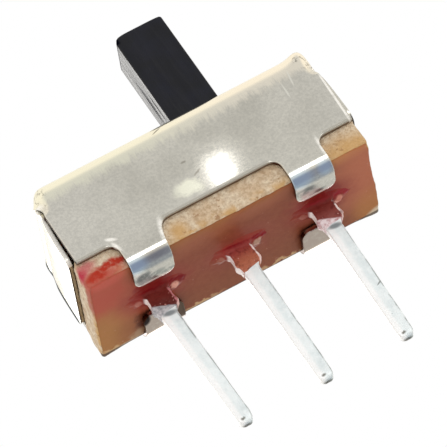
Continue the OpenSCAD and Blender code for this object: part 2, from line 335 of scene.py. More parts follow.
@dataclass
class Coat:
    """The nodes of one material or world in the making, and the colour that has been laid on so far."""

    tree: bpy.types.NodeTree
    colour: Any = "#ffffff"

    @classmethod
    def start(cls, thing: Any) -> "Coat":
        """Empties the nodes of a material or a world, and starts a coat in them.

        Args:
            thing: The material or the world.

        Returns:
            The new coat.
        """
        thing.use_nodes = True
        thing.node_tree.nodes.clear()
        return cls(thing.node_tree)

    @cached_property
    def place(self) -> bpy.types.NodeSocket:
        """The position on the piece, in millimetres."""
        return self.add(Node.SCALE, self.add(Node.PLACE)["Object"], 1.0 / MM)

    @cached_property
    def axes(self) -> Any:
        """The x, y and z of the position on the piece."""
        return self.add(Node.SPLIT, self.place)

    @cached_property
    def shader(self) -> bpy.types.Node:
        """Adds the shader and links it to the material's output, the first time.

        Returns:
            The shader.
        """
        made = self.add(Node.SHADER)
        self.add(Node.MATERIAL, made)
        return made.node

    def add(self, kind: Node, *values: Any, stops: Sequence = (), **settings: Any) -> Any:
        """Adds one node with its settings and links.

        Args:
            kind: The kind of node.
            values: What its sockets take: numbers, hex colours, or other nodes' sockets.
            stops: Position and hex colour of each stop, for a colour ramp.
            settings: Settings besides those of its kind.

        Returns:
            The socket with its result, or all its outputs.
        """
        name, takes, gives, fixed = kind.value
        node = self.tree.nodes.new("ShaderNode" + name)
        for key, value in {**fixed, **settings}.items():
            setattr(node, key, value)
        for key, value in zip(takes, values):
            self.fill(node.inputs[key], value)
        for number, (position, tone) in enumerate(stops):
            elements = node.color_ramp.elements
            stop = elements[number] if number < len(elements) else elements.new(position)
            stop.position, stop.color = position, linear(tone)
        return node.outputs if gives is None else node.outputs[gives]

    def fill(self, socket: bpy.types.NodeSocket, value: Any) -> None:
        """Links another socket into a socket, or sets it to a number or a hex colour.

        Args:
            socket: The input.
            value: What goes into it.
        """
        if isinstance(value, bpy.types.NodeSocket):
            self.tree.links.new(value, socket)
        else:
            socket.default_value = linear(value) if isinstance(value, str) else value

    def put(self, inputs: dict) -> None:
        """Fills inputs of the shader, given by name."""
        for name, value in inputs.items():
            self.fill(self.shader.inputs[name], value)

    def where(self, *masks: Any) -> Any:
        """Returns where all the masks hold at once: their product.

        Args:
            masks: Sockets or shares; or tuples of a value, the two ends that it eases between and,
                where these aren't 0 and 1, what it becomes at them.
        """
        eased = [self.add(Node.EASE, *mask) if isinstance(mask, tuple) else mask for mask in masks]
        return reduce(lambda first, second: self.add(Node.MULTIPLY, first, second), eased)

    def either(self, *masks: Any) -> Any:
        """Returns where any of the masks holds: the largest of them."""
        return reduce(lambda first, second: self.add(Node.LARGER, first, second), masks)

    def between(self, low: Any, high: Any, *masks: Any) -> Any:
        """Returns one tone, which goes over to another where all the masks hold."""
        return self.add(Node.MIX, self.where(*masks), low, high)

    def lay(self, tone: Any, *masks: Any) -> None:
        """Lays a tone over the colour so far, where all the masks hold."""
        self.colour = self.between(self.colour, tone, *masks)

    def stain(self, *spots: tuple, on: Any = None) -> None:
        """Lays on stains.

        Args:
            spots: Tone, share, share of the shape over which it fades, and shapes of each.
            on: The position that they lie on, where it isn't the plain one.
        """
        for tone, share, edge, *shapes in spots:
            self.lay(tone, self.marks(*shapes, edge=edge, on=on), share)

    def away(self, value: Any, middle: float = 0.0) -> Any:
        """Returns how far a value is from a middle one, on either side."""
        return self.add(Node.ABSOLUTE, self.add(Node.SUBTRACT, value, middle))

    def shaken(self, value: Any, noise: Any, reach: float, kind: Node = Node.ADD) -> Any:
        """Returns a value pushed about by noise from 0 to 1: value + noise * reach - reach / 2.

        Args:
            value: A number, or a position.
            noise: The noise.
            reach: How far apart the two ends are that it is pushed between.
            kind: ADD for a number, SHIFT for a position.
        """
        return self.add(kind, value, self.add(Node.MULTIPLY_ADD, noise, reach, -reach / 2))

    def noise(self, grain: float, detail: float = 3.0, rough: float = 0.5, on: Any = None) -> Any:
        """Returns noise from 0 to 1.

        Args:
            grain: About how wide its blotches are, in millimetres.
            detail: How many finer layers it has.
            rough: How strong each finer layer is.
            on: The position that it lies on, where it isn't the plain one.
        """
        return self.add(Node.NOISE, self.place if on is None else on, 1.0 / grain, detail, rough)

    def marks(self, *shapes: tuple, edge: float = 0.4, box: bool = False, on: Any = None) -> Any:
        """Marks soft-edged places: ellipsoids or boxes.

        Args:
            shapes: The middle and half-axes of each and, where it is turned, its rotation in degrees.
            edge: Share of the half-axes over which it fades.
            box: Whether they are boxes.
            on: The position that they lie on, where it isn't the plain one.

        Returns:
            1 inside any of them, 0 outside.
        """
        masks = []
        for middle, half, *turned in shapes:
            turn = [math.radians(angle) for angle in (turned[0] if turned else (0.0, 0.0, 0.0))]
            local = self.add(Node.INTO, self.place if on is None else on, middle, turn, half)
            if box:
                far = self.either(*self.add(Node.SPLIT, self.add(Node.FOLD, local)))
            else:
                far = self.add(Node.LENGTH, local)
            masks.append(self.where((far, 1.0 - edge, 1.0 + edge, 1.0, 0.0)))
        return self.either(*masks)

    def relief(self, height: Any, depth: float, strength: float = 1.0, worn: float = 0.0) -> None:
        """Gives the surface a relief.

        Args:
            height: Its height, from 0 to 1.
            depth: What 1 stands for, in millimetres.
            strength: How much of it is felt.
            worn: Radius to which the piece's edges are worn round, in millimetres.
        """
        edge = (self.add(Node.WORN, worn * MM),) if worn else ()
        self.put({"Normal": self.add(Node.BUMP, strength, depth * MM, height, *edge)})


@dataclass(frozen=True)
class Finish:
    """What a surface is made of; each kind below lays on its own coat."""

    name: str
    slot: Slot

    def material(self) -> bpy.types.Material:
        """Makes the material, unless it is already made.

        Returns:
            The material.
        """
        made = bpy.data.materials.get(self.name)
        if made is None:
            made = bpy.data.materials.new(self.name)
            self.paint(Coat.start(made))
        return made

    def paint(self, coat: Coat) -> None:
        """Lays the finish on the coat, each kind in its own way."""
        raise NotImplementedError


@dataclass(frozen=True)
class TinnedSteel(Finish):
    """Cold-rolled sheet steel, dip-tinned: soft grey mirror, slightly warm, with handling scratches."""

    name: str = "tinned_sheet_steel"
    slot: Slot = Slot.TINPLATE
    bright: str = "#ebe7dd"
    dull: str = "#d9d5cb"
    smear: str = "#8f8f8c"

    def paint(self, coat: Coat) -> None:
        """Lays on blotched tin with a fine grain, painted paler at its ends, then marks of drawing, handling
        and shearing, and painted light and shade.

        Args:
            coat: The material's coat.
        """
        coat.colour = self.dull
        coat.lay(self.bright, (coat.noise(1.6), 0.3, 0.7))
        # Painted light: the tin is painted paler towards both ends, where more light falls on the wall.
        coat.lay("#f8f4ec", (coat.away(coat.axes[0], 0.5), 1.5, 5.0, 0.0, 0.6))
        coat.lay(self.smear, (coat.noise(0.065, 3.0, 0.7), 0.3, 0.7, 0.0, 0.26))
        self.draw(coat)
        self.handle(coat)
        # Painted highlights and painted shade make the tin less metallic there, and the shade also takes away
        # its shine.
        pale, painted_shade = self.shear(coat)
        coat.put({"Base Color": coat.colour,
                  "Metallic": coat.add(Node.MULTIPLY_ADD, coat.either(pale, painted_shade), -0.85, 1.0),
                  "Specular IOR Level": coat.where((painted_shade, 0.0, 1.0, 0.5, 0.0)),
                  "Roughness": coat.where((coat.noise(0.9), 0.3, 0.7, 0.13, 0.17))})
        # Rolling and dipping leave a ripple of a few micrometres, with a finer one on it.
        height = coat.add(Node.MULTIPLY_ADD, coat.noise(0.12, 5.0, 0.6), 0.12, coat.noise(0.75))
        coat.relief(height, 0.005, 0.7, worn=0.055)

    def draw(self, coat: Coat) -> None:
        """Lays on what drawing the top does: hairlines, creased corners and turned lips, with a painted
        highlight on the bends and painted shade on corners and lips.

        Args:
            coat: The material's coat.
        """
        x, _, z = coat.axes
        # Painted highlight: the bend round the top is painted a pale cream band, with a ragged hairline edge.
        hairs = coat.noise(0.07, 3.0, 0.6, on=coat.add(Node.STRETCH, coat.place, (1.0, 1.0, 0.12)))
        level = coat.shaken(coat.shaken(z, coat.noise(0.3, 5.0, 0.65), 0.4), hairs, 0.5)
        coat.lay(coat.between("#f9f6e4", "#fdf5e6", (x, -2.0, 3.0)), (level, 2.92, 3.3))
        coat.stain(("#fbf8ee", 0.8, 0.4, ((3.48, -1.85, 3.0), (0.024, 0.2, 0.26), (0.0, 8.0, 0.0)),
                    ((3.18, -1.85, 2.72), (0.024, 0.2, 0.24), (0.0, 2.0, 0.0))))
        # Painted shade: thin dark wavy lines on the drawn corners stand for the shade in their creases.
        corners = coat.marks(((-4.15, -1.7, 3.4), (0.3, 0.5, 0.42)),
                             ((4.1, -1.7, 3.5), (0.3, 0.5, 0.42)), edge=0.3)
        coat.lay("#6b645a", corners, (coat.away(coat.noise(0.28), 0.5), 0.0, 0.022, 0.7, 0.0))
        # Where the slits end, the drawn corners' ears are painted dark at the outline: painted shade.
        coat.stain(("#4d5150", 0.75, 0.5, ((-4.2, 1.62, 3.6), (0.2, 0.1, 0.13)),
                    ((4.06, -1.62, 3.78), (0.1, 0.16, 0.09))))

    def handle(self, coat: Coat) -> None:
        """Lays on the marks of handling, a nick, specks and smudges, with painted light: a glow, blue
        reflections on the feet and shade on the back feet.

        Args:
            coat: The material's coat.
        """
        near = coat.shaken(coat.place, coat.noise(0.3), 0.4, Node.SHIFT)
        coat.stain(("#6d675c", 0.75, 0.4, ((-0.37, -1.8, 3.55), (0.16, 0.3, 0.022), (0.0, -24.0, 0.0))),
                   ("#9a9488", 0.6, 0.4, ((-0.28, -1.85, 2.22), (0.08, 0.1, 0.035)),
                    ((-0.12, -1.85, 1.74), (0.14, 0.1, 0.03), (0.0, -25.0, 0.0))))
        # Painted highlight: a pale glow on the wall, left of the spot lamp's highlight.
        coat.stain(("#fffdeb", 1.0, 0.4, ((-0.54, -1.85, 1.42), (0.4, 0.3, 0.25), (0.0, 10.0, 0.0))), on=near)
        grime_and_shade = coat.where((coat.noise(0.22, 4.0, 0.7), 0.36, 0.52))
        smudges = coat.marks(
            ((-2.85, -1.2, 0.0), (0.3, 0.14, 0.06)), ((-2.45, -1.12, 0.0), (0.3, 0.12, 0.06)),
            ((-2.1, -1.0, 0.0), (0.24, 0.08, 0.06)), ((2.15, -1.24, 0.0), (0.34, 0.13, 0.06)),
            ((2.55, -1.0, 0.0), (0.2, 0.06, 0.06)), edge=0.6)
        coat.lay("#a2a5a0", smudges, grime_and_shade, 0.9)
        # Painted reflection: the feet's bends are painted pale blue, and one grey, as the room reflects in
        # them.
        coat.stain(("#dcebf8", 0.9, 0.6, ((-2.9, -1.72, 0.1), (0.32, 0.22, 0.22)),
                    ((2.1, -1.72, 0.1), (0.35, 0.25, 0.22)), ((2.85, -1.72, 0.1), (0.2, 0.2, 0.2))),
                   ("#b3adab", 0.7, 0.6, ((-2.25, -1.76, 0.1), (0.34, 0.12, 0.18))))
        # Behind the pins the back feet are painted darker, with dark rims and darker patches beside them:
        # painted shade.
        feet = coat.marks(*(((x, 1.2, 0.0), (0.62, 0.6, 0.12)) for x in FOOT_X), edge=0.12, box=True)
        around = coat.marks(*(((x, 1.2, -0.02), (0.9, 0.9, 0.12)) for x in FOOT_X), edge=0.1, box=True)
        coat.lay(coat.between("#6a5c54", "#bdaea3", feet),
                 (coat.axes[1], 0.3, 0.5), (grime_and_shade, 0.0, 1.0, 0.8, 1.0), around)
        coat.stain(("#4c3624", 0.9, 0.25, ((-1.95, 1.2, 0.05), (0.26, 0.7, 0.2))),
                   ("#1c0906", 1.0, 0.25, ((-3.02, 0.76, 0.05), (0.2, 0.26, 0.2))))

    def shear(self, coat: Coat) -> tuple[Any, Any]:
        """Lays on what the shears leave, bare edges, with painted shade on dark edges and in the slits, and
        painted highlights on pale rims.

        Args:
            coat: The material's coat.

        Returns:
            How much painted highlight each point has, and how much painted shade.
        """
        x, y, z = coat.axes
        end, side = coat.away(x), coat.away(y)
        facing = coat.add(Node.SPLIT, coat.add(Node.GEOMETRY)["True Normal"])
        walls = coat.where((side, 1.58, 1.66))
        down = coat.where((facing[2], -0.45, -0.75), (z, 0.45, 0.6))
        rim = coat.where((facing[2], -0.1, -0.4), (z, 1.1, 1.0), (z, 0.7, 0.8), walls)
        notch_edge_shade = coat.where((coat.away(end, FOOT_X[1]), 0.76, 0.9), (z, 1.075, 1.03), walls, (z, 0.9, 0.93))
        # Painted shade: the walls' lower cut edges, and the notches' top edges by the feet, are painted grey
        # and dull so they do not shine.
        coat.lay("#a39c92", rim)
        coat.lay("#b3afa4", notch_edge_shade)
        # Bare cut edges, painted darker still: painted shade where the walls' lower edges and the notches'
        # sides meet the board.
        coat.lay("#6e5a49", down, walls, (side, 1.81, 1.77))
        coat.lay("#4a2a1a", (facing[0], -0.35, -0.6), (z, 0.98, 0.93), (side, 1.845, 1.8), (end, 4.1, 4.0))
        # The flaps' bottom edges are bare and painted olive grey, with a dark line at their outer corner:
        # painted shade.
        coat.lay(coat.between("#b0a794", "#4a3a2c", (end, 4.32, 4.345)),
                 down, coat.add(Node.SUBTRACT, 1.0, walls))
        # The walls' cut ends lie in the slits and are painted dark brown: painted shade in the slits.
        coat.lay("#35190e", (coat.away(facing[0]), 0.5, 0.8), walls, (z, 3.0, 2.9), (z, 0.95, 1.0))
        # A dark line is painted along the left flap's back edge: a painted dark reflection at its outline.
        back = coat.marks(((-4.33, 1.45, 2.4), (0.3, 0.14, 1.18)), edge=0.12, box=True)
        coat.lay("#3a4140", back)
        # Painted highlights: the left flap's front edge, a line at the right wall's end and spots round the
        # notches and left corner, near white and less metallic.
        ragged = coat.noise(0.1, 4.0)
        front = coat.where((coat.away(facing[1]), 0.45, 0.7), (x, -4.21, -4.24),
                           (z, 3.0, 2.9), (side, 1.6, 1.58))
        line = coat.marks(((4.17, -1.85, 1.87), (0.03, 0.1, 0.9), (0.0, 2.0, 0.0)), edge=0.3, box=True)
        rims = coat.marks(((-3.1, -1.85, 1.12), (0.15, 0.1, 0.05), (0.0, 27.0, 0.0)),
                          ((-3.07, -1.85, 0.83), (0.05, 0.1, 0.17), (0.0, -22.0, 0.0)),
                          ((-1.8, -1.85, 0.6), (0.09, 0.1, 0.38), (0.0, 14.0, 0.0)),
                          ((3.06, -1.85, 0.6), (0.05, 0.1, 0.34), (0.0, 3.0, 0.0)),
                          ((-4.28, -1.73, 3.1), (0.16, 0.2, 0.08)), edge=0.6)
        pale = coat.either(front, coat.where(rims, (ragged, 0.35, 0.55, 0.55, 1.0)),
                           coat.where(line, (ragged, 0.35, 0.5, 0.5, 0.95)))
        coat.lay("#fdf9f1", pale)
        # Painted highlight: a pale pink rim along the front feet's ends, hiding the reflection there.
        toes = coat.marks(*(((x, -0.88, 0.0), (0.55, 0.05, 0.05)) for x in FOOT_X), edge=0.5, box=True)
        coat.lay("#d9c0ba", toes, 0.7)
        return coat.either(pale, coat.where(toes, 0.8)), coat.either(back, rim, notch_edge_shade)


@dataclass(frozen=True)
class PhenolicPaper(Finish):
    """Phenolic paper laminate, punched: a brown resin face, and fibrous tan edges where it was sheared."""

    name: str = "phenolic_paper_board"
    slot: Slot = Slot.BOARD

    def paint(self, coat: Coat) -> None:
        """Lays on the resin face, the sheared edges, and a smear of red paint at the left end.

        Args:
            coat: The material's coat.
        """
        _, y, z = coat.axes
        self.face(coat)
        face = coat.colour
        self.edge(coat)
        cut = coat.shaken(coat.add(Node.ATTRIBUTE, attribute_name="cut"), coat.noise(0.14), 0.7)
        cut = coat.where((cut, 0.4, 0.62))
        coat.colour = coat.between(face, coat.colour, cut)
        near = coat.shaken(coat.place, coat.noise(0.4, 4.0, 0.6), 0.5, Node.SHIFT)
        coat.stain(("#ab4a3a", 0.8, 0.3, ((-4.1, -1.25, 0.2), (0.8, 1.1, 0.33), (0.0, 0.0, -8.0))),
                   ("#cf6a6e", 0.8, 0.5, ((-4.17, -1.68, 0.8), (0.36, 0.2, 0.2))),
                   ("#c22c46", 0.9, 0.5, ((-4.3, -1.62, 0.66), (0.2, 0.3, 0.17))),
                   ("#c85a4e", 0.7, 0.5, ((-3.75, -1.6, 0.34), (0.75, 0.3, 0.24))), on=near)
        streak = coat.marks(((-3.42, -1.66, 0.55), (0.5, 0.3, 0.12), (0.0, 4.0, 0.0)),
                            ((-3.92, -1.6, 0.42), (0.3, 0.3, 0.17)), edge=0.45, on=near)
        coat.lay("#b83826", streak, (coat.noise(0.12, 4.0, 0.6), 0.3, 0.5, 0.7, 1.0))
        coat.stain(("#cfc0a8", 0.85, 0.5, ((-3.35, 1.68, 0.22), (0.42, 0.08, 0.16)),
                    ((4.2, 1.66, 0.2), (0.3, 0.17, 0.2), (0.0, 0.0, -25.0))))
        coat.stain(("#ab8c6e", 0.8, 0.6, ((-3.12, 1.5, 0.2), (0.26, 0.16, 0.12))), on=near)
        # The lower edge at the back is painted darker, as a thin dark line.
        coat.lay("#493c34", (y, 1.6, 1.65), (z, 0.32, 0.27), 0.85)
        coat.put({"Base Color": coat.colour, "Specular IOR Level": 0.16,
                  "Roughness": coat.where((cut, 0.0, 1.0, 0.4, 0.85))})
        fibres = coat.where(coat.noise(0.1, 6.0, 0.65), coat.add(Node.MULTIPLY_ADD, cut, 0.94, 0.06))
        coat.relief(fibres, 0.07)

    def face(self, coat: Coat) -> None:
        """Lays on the resin face: brown, redder at both ends, tan along the back and stained.

        Args:
            coat: The material's coat.
        """
        x, y, _ = coat.axes
        drift = coat.noise(1.4, 2.0)
        along = coat.add(Node.MULTIPLY_ADD, coat.shaken(x, drift, 1.4), 1.0 / BOARD_LENGTH, 0.5)
        coat.colour = coat.add(Node.RAMP, along, stops=(
            (0.0, "#a6513c"), (0.14, "#a2503b"), (0.27, "#86442e"), (0.5, "#82432b"),
            (0.74, "#84452f"), (0.84, "#9c5840"), (1.0, "#a25c3e")))
        back = coat.shaken(y, drift, 0.8)
        coat.lay("#80462b", (back, 0.55, 1.45, 0.0, 0.85))
        coat.lay("#9f5f42", (back, -0.75, -1.35, 0.0, 0.6))
        coat.lay("#9c6638", (back, -1.25, -1.7, 0.0, 0.6))
        coat.stain(("#a3703c", 0.95, 0.6, ((-4.2, 1.1, 0.2), (0.9, 1.5, 0.4), (0.0, 0.0, -12.0))),
                   ("#8c5430", 0.6, 0.6, ((-3.3, 1.2, 0.2), (0.5, 0.6, 0.4))),
                   ("#a96f39", 0.85, 0.6, ((4.1, 1.2, 0.2), (0.5, 0.8, 0.4))),
                   ("#bd7f4a", 0.9, 0.8, ((3.75, -1.66, 0.2), (0.9, 0.3, 0.6))),
                   ("#b0664a", 0.8, 0.8, ((3.95, -0.6, 0.2), (0.6, 1.2, 0.6))))
        self.soak(coat)

    def soak(self, coat: Coat) -> None:
        """Lays on the lacquer's red that has soaked in round each terminal, most round the outer two, with
        painted shade round the outer two.

        Args:
            coat: The material's coat.
        """
        near = coat.shaken(coat.place, coat.noise(0.3, 5.0, 0.6), 0.7, Node.SHIFT)
        for x, share, tone in zip(TERMINAL_X, (0.9, 0.55, 0.9), ("#8b332f", "#90403a", "#87302e")):
            # Painted shade: round the outer two, dark red in front of the neck where the foot's shadow falls,
            # and dark brown by the back foot.
            shade_share = (share - 0.55) * 2.6
            coat.stain((tone, share, 0.6, ((x + 0.05, -0.1, 0.2), (0.95, 0.62, 0.5))),
                       ("#780f14", shade_share, 0.5, ((x + 0.1, -0.45, 0.2), (0.52, 0.32, 0.5))),
                       ("#45140b", shade_share, 0.6, ((x - 0.24, 1.05, 0.2), (0.38, 0.42, 0.5))), on=near)
        coat.stain(("#c9a87c", 0.8, 0.5, ((-1.35, 1.6, 0.2), (0.75, 0.07, 0.2)),
                    ((-3.75, 1.6, 0.2), (0.6, 0.07, 0.2)), ((1.3, 1.6, 0.2), (0.8, 0.06, 0.2))), on=near)
        coat.lay("#c07a55", (coat.noise(0.16, 4.0, 0.6), 0.3, 0.7, 0.0, 0.08))
        coat.lay("#c99a88", (coat.noise(0.11, 2.0), 0.72, 0.77), 0.5)

    def edge(self, coat: Coat) -> None:
        """Lays on the sheared edge: pale fibres with darker pits, more orange low down.

        Args:
            coat: The material's coat.
        """
        coat.colour = coat.between("#dcc2a2", "#eddcc2", (coat.noise(0.5), 0.35, 0.65))
        coat.lay("#ae8c68", (coat.noise(0.13, 5.0, 0.7), 0.6, 0.38, 0.0, 0.55))
        low = coat.where((coat.axes[2], 0.55, 0.22), (coat.noise(0.35), 0.42, 0.6, 0.1, 0.8))
        torn = coat.marks(((3.75, -1.65, 0.22), (0.9, 0.4, 0.45)),
                          ((-1.4, -1.65, 0.45), (0.25, 0.3, 0.3)), edge=0.8)
        coat.lay("#d2a362", coat.either(low, coat.where(torn, 0.8)))
        coat.lay("#9a6a40", (coat.noise(0.2, 4.0, 0.65), 0.6, 0.68), 0.6)


@dataclass(frozen=True)
class PlatedBrass(Finish):
    """Brass strip, bright tin plated after punching: nearly white, satin, with small dark dents."""

    name: str = "bright_plated_brass"
    slot: Slot = Slot.PLATING

    def paint(self, coat: Coat) -> None:
        """Lays on white metal with faint drawing marks, cloudy spots, a few dark dents, painted shade on the
        right edges and a painted reflection.

        Args:
            coat: The material's coat.
        """
        x, y, z = coat.axes
        along = coat.add(Node.STRETCH, coat.place, (1.0, 1.0, 0.22))
        streaks = coat.noise(0.09, 4.0, 0.6, on=along)
        # Each pin is measured from its own middle line, which leans towards the middle pin.
        row = coat.add(Node.ROUND, coat.add(Node.DIVIDE, x, PITCH))
        across = coat.add(Node.SUBTRACT, x, coat.where(row, (z, -0.55, -4.44, PITCH, PITCH - 0.1)))
        coat.colour = coat.between("#ffffff", "#f2f8f9", (across, -0.1, 0.0))
        coat.lay("#dfe8ea", (coat.noise(0.3, 4.0, 0.6), 0.4, 0.65), (across, -0.15, 0.1, 0.1, 0.8))
        # Painted shade: each pin's right edge is painted grey down its length.
        coat.lay("#9aa09f", (coat.noise(0.12, 4.0, 0.7, on=along), 0.42, 0.55), (across, 0.17, 0.2, 0.0, 0.8),
                 (across, 0.222, 0.234, 1.0, 0.2), (z, -0.6, -0.9))
        coat.lay("#6f7270", (coat.noise(0.16, 2.0), 0.72, 0.78), 0.8)
        pin = coat.shaken(coat.add(Node.JOIN, across, y, z), streaks, 0.1, Node.SHIFT)
        coat.stain(("#55503f", 0.85, 0.6, ((-0.05, -0.15, -4.58), (0.06, 0.1, 0.04)),
                    ((-0.02, 0.05, -4.76), (0.17, 0.1, 0.06))), on=pin)
        coat.stain(("#6d6f6c", 0.8, 0.4, ((2.63, -0.15, -2.9), (0.09, 0.1, 0.02), (0.0, -30.0, 0.0))))
        # Painted reflection: a blue-grey band on the outer pins, just below the end of the film.
        for neck in (TERMINAL_X[0], TERMINAL_X[2]):
            reflected_band = ((neck + 0.02, -0.15, -0.7), (0.21, 0.12, 0.08), (0.0, 8.0, 0.0))
            coat.stain(("#6d7479", 0.85, 0.5, reflected_band))
        coat.put({"Base Color": coat.colour, "Metallic": 0.25,
                  "Roughness": coat.where((streaks, 0.3, 0.7, 0.4, 0.5))})
        coat.relief(streaks, 0.012, 0.7)


@dataclass(frozen=True)
class Lacquer(Finish):
    """Red sealing lacquer, dabbed on with a brush: glossy, dark where it is thick and rosy on bare metal."""

    name: str = "red_sealing_lacquer"
    slot: Slot = Slot.LACQUER

    def paint(self, coat: Coat) -> None:
        """Lays on pools that thin out to the board's own face, a film on the neck, painted highlights on ears
        and edges, and bare metal.

        Args:
            coat: The material's coat.
        """
        x, y, z = coat.axes
        cloud = coat.noise(0.17, 5.0, 0.65)
        outer = coat.where((coat.away(x), 0.9, 1.6))
        # Measured from its own terminal, every seal is alike: thick by the neck and past the right ear.
        middle = coat.where(coat.add(Node.ROUND, coat.add(Node.DIVIDE, x, PITCH)), PITCH)
        own = coat.add(Node.JOIN, coat.add(Node.SUBTRACT, x, middle), y, z)
        near, loose = (coat.shaken(own, cloud, reach, Node.SHIFT) for reach in (0.08, 0.34))
        film = self.film(coat, cloud, outer)
        self.pool(coat, near, loose, outer)
        root = coat.marks(((0.05, 0.2, 0.15), (0.4, 0.4, 0.3)), edge=0.15, box=True, on=near)
        coat.lay(film, root)
        coat.lay(film, (coat.shaken(z, cloud, 0.2), 0.12, -0.04))
        coat.lay("#e0a79d", (coat.noise(0.09), 0.66, 0.72, 0.0, 0.75), (z, 0.12, 0.0))
        # Painted highlight: the ears' tips are painted pale pink, standing for their glints.
        left = coat.between("#dfa594", coat.between("#bd9a88", "#cd8878", (x, 1.0, 2.5)), (x, -2.0, -0.5))
        coat.lay(left, (coat.add(Node.ATTRIBUTE, attribute_name="ear"), 0.08, 0.4),
                 (coat.add(Node.SPLIT, loose)[0], 0.0, 0.2, 0.3, 1.0), (cloud, 0.36, 0.56, 0.4, 1.0))
        self.neck(coat, near, cloud, outer)
        coat.put({"Base Color": coat.colour, "Roughness": 0.32,
                  "Specular IOR Level": coat.where((z, 0.07, -0.02, 0.1, 0.2))})
        coat.relief(coat.noise(0.12, 4.0), 0.02, 0.7)

    def film(self, coat: Coat, cloud: Any, outer: Any) -> Any:
        """Colours the film: orange on the middle neck, brown on the outer two, darker in blotches.

        Args:
            coat: The material's coat.
            cloud: The lacquer's noise.
            outer: Where the outer two terminals are.

        Returns:
            The film's colour.
        """
        x, _, z = coat.axes
        high = coat.between("#983f39", "#7c302a", outer)
        low = coat.between("#b4694f", coat.between("#602520", "#8c4943", (x, -1.0, 1.0)), outer)
        even = coat.between(high, low, (z, 0.05, -0.42))
        return coat.between(even, "#55110f", (cloud, 0.5, 0.36, 0.0, 0.5))

    def pool(self, coat: Coat, near: Any, loose: Any, outer: Any) -> None:
        """Lays on the board's face, the wash over it, and the dark lines where the pool is thick, with
        painted shade in the one at the root.

        Args:
            coat: The material's coat.
            near: Position from the terminal, hardly shaken.
            loose: The same, shaken more.
            outer: Where the outer two terminals are.
        """
        PhenolicPaper().face(coat)
        coat.stain((coat.between("#a03432", "#801f20", outer), 0.65, 0.7,
                    ((0.05, -0.16, 0.15), (0.66, 0.24, 0.3))), on=loose)
        # Painted shade: a dark line along the neck's root, where the pool also lies thick.
        root = coat.marks(((0.04, -0.22, 0.15), (0.46, 0.045, 0.3), (0.0, 0.0, 5.0)), edge=0.6, on=near)
        bow = coat.marks(((0.86, -0.02, 0.15), (0.12, 0.2, 0.3), (0.0, 0.0, -25.0)),
                         ((0.62, -0.14, 0.15), (0.2, 0.08, 0.3)), edge=0.5, on=loose)
        thick = coat.between("#780d12", "#8f262c", (coat.axes[0], 1.5, 2.5))
        coat.lay(coat.between("#84161c", thick, outer), coat.either(root, bow))

    def neck(self, coat: Coat, near: Any, cloud: Any, outer: Any) -> None:
        """Lays on painted highlights on the neck's right side and edge, its bare left side and, on the outer
        necks, the corner that was left bare.

        Args:
            coat: The material's coat.
            near: Position from the terminal.
            cloud: The lacquer's noise.
            outer: Where the outer two terminals are.
        """
        x, _, z = coat.axes
        facing = coat.add(Node.SPLIT, coat.add(Node.GEOMETRY)["Normal"])[0]
        neck = coat.where((z, 0.1, 0.0))
        # Painted highlight: the neck's right side and a line along its right edge are painted pale pink.
        coat.lay("#f0c4bc", (facing, 0.5, 0.8), (cloud, 0.4, 0.55, 0.6, 1.0), neck)
        line = coat.marks(((0.375, -0.2, -0.16), (0.03, 0.2, 0.3), (0.0, -3.0, 0.0)),
                          edge=0.5, box=True, on=near)
        lower = coat.add(Node.MULTIPLY_ADD, coat.where((x, 1.5, 2.5)), 0.12, z)
        coat.lay(coat.between("#d0868a", "#faece8", (x, -2.0, -0.5)),
                 line, neck, (cloud, 0.4, 0.52, 0.5, 1.0), (lower, 0.1, 0.0))
        coat.lay("#fdf1ee", (facing, -0.55, -0.85), neck)
        # The dab stopped short of the left corner of both outer necks, and left the metal bare.
        own = coat.add(Node.SPLIT, near)
        grey, rosy = (coat.between(low, high, (cloud, 0.35, 0.6))
                      for low, high in (("#8b8b90", "#c9c5c8"), ("#c08f92", "#f2e2e4")))
        slant = coat.add(Node.MULTIPLY_ADD, own[0], 0.45, own[2])
        coat.lay(coat.between(grey, rosy, (x, -1.0, 1.0)), (slant, -0.4, -0.45), (own[2], -0.05, -0.1), outer)


@dataclass(frozen=True)
class MouldedPlastic(Finish):
    """Black moulded nylon: satin, a little blue, with fine draw marks along its height."""

    name: str = "black_moulded_nylon"
    slot: Slot = Slot.PLASTIC

    def paint(self, coat: Coat) -> None:
        """Lays on near-black resin with draw marks and a light haze of handling.

        Args:
            coat: The material's coat.
        """
        x, _, z = coat.axes
        streaks = coat.noise(0.11, 5.0, 0.65, on=coat.add(Node.STRETCH, coat.place, (1.0, 1.0, 0.06)))
        coat.colour = coat.between("#05060f", "#0a0c1b", (coat.noise(0.7), 0.3, 0.7))
        coat.lay("#2a2a2e", (streaks, 0.55, 0.75, 0.0, 0.25))
        # The crown is rubbed dull by thumbs, and three lengthwise sink lines run down the leading side.
        sinks = [((0.4, y, middle), (0.1, 0.035, half), (2.5, 0.0, 0.0))
                 for y, middle, half in ((0.09, 5.7, 0.85), (0.0, 5.5, 0.7), (-0.28, 5.2, 0.5))]
        dull = coat.either(coat.where((z, 7.36, 7.44), (x, 0.56, 0.46)), coat.marks(*sinks, edge=0.5))
        coat.put({"Base Color": coat.colour,
                  "Roughness": coat.either(coat.where((streaks, 0.3, 0.7, 0.3, 0.45)), dull),
                  "Specular IOR Level": coat.add(Node.MULTIPLY_ADD, dull, -0.3, 0.3)})
        coat.relief(streaks, 0.012, 0.8)


@dataclass(frozen=True)
class SpringBronze(Finish):
    """Rolled phosphor bronze sheet: warm, bright, with rolling marks along it."""

    name: str = "phosphor_bronze_sheet"
    slot: Slot = Slot.BRONZE

    def paint(self, coat: Coat) -> None:
        """Lays on copper-gold metal with long fine rolling marks.

        Args:
            coat: The material's coat.
        """
        streaks = coat.noise(0.08, 4.0, on=coat.add(Node.STRETCH, coat.place, (0.08, 1.0, 1.0)))
        coat.put({"Base Color": coat.between("#b87f4b", "#d09a62", streaks), "Metallic": 1.0,
                  "Roughness": coat.where((streaks, 0.3, 0.7, 0.25, 0.4))})
        coat.relief(streaks, 0.004, 0.5)


# ---------------------------------------------------------------- the shell


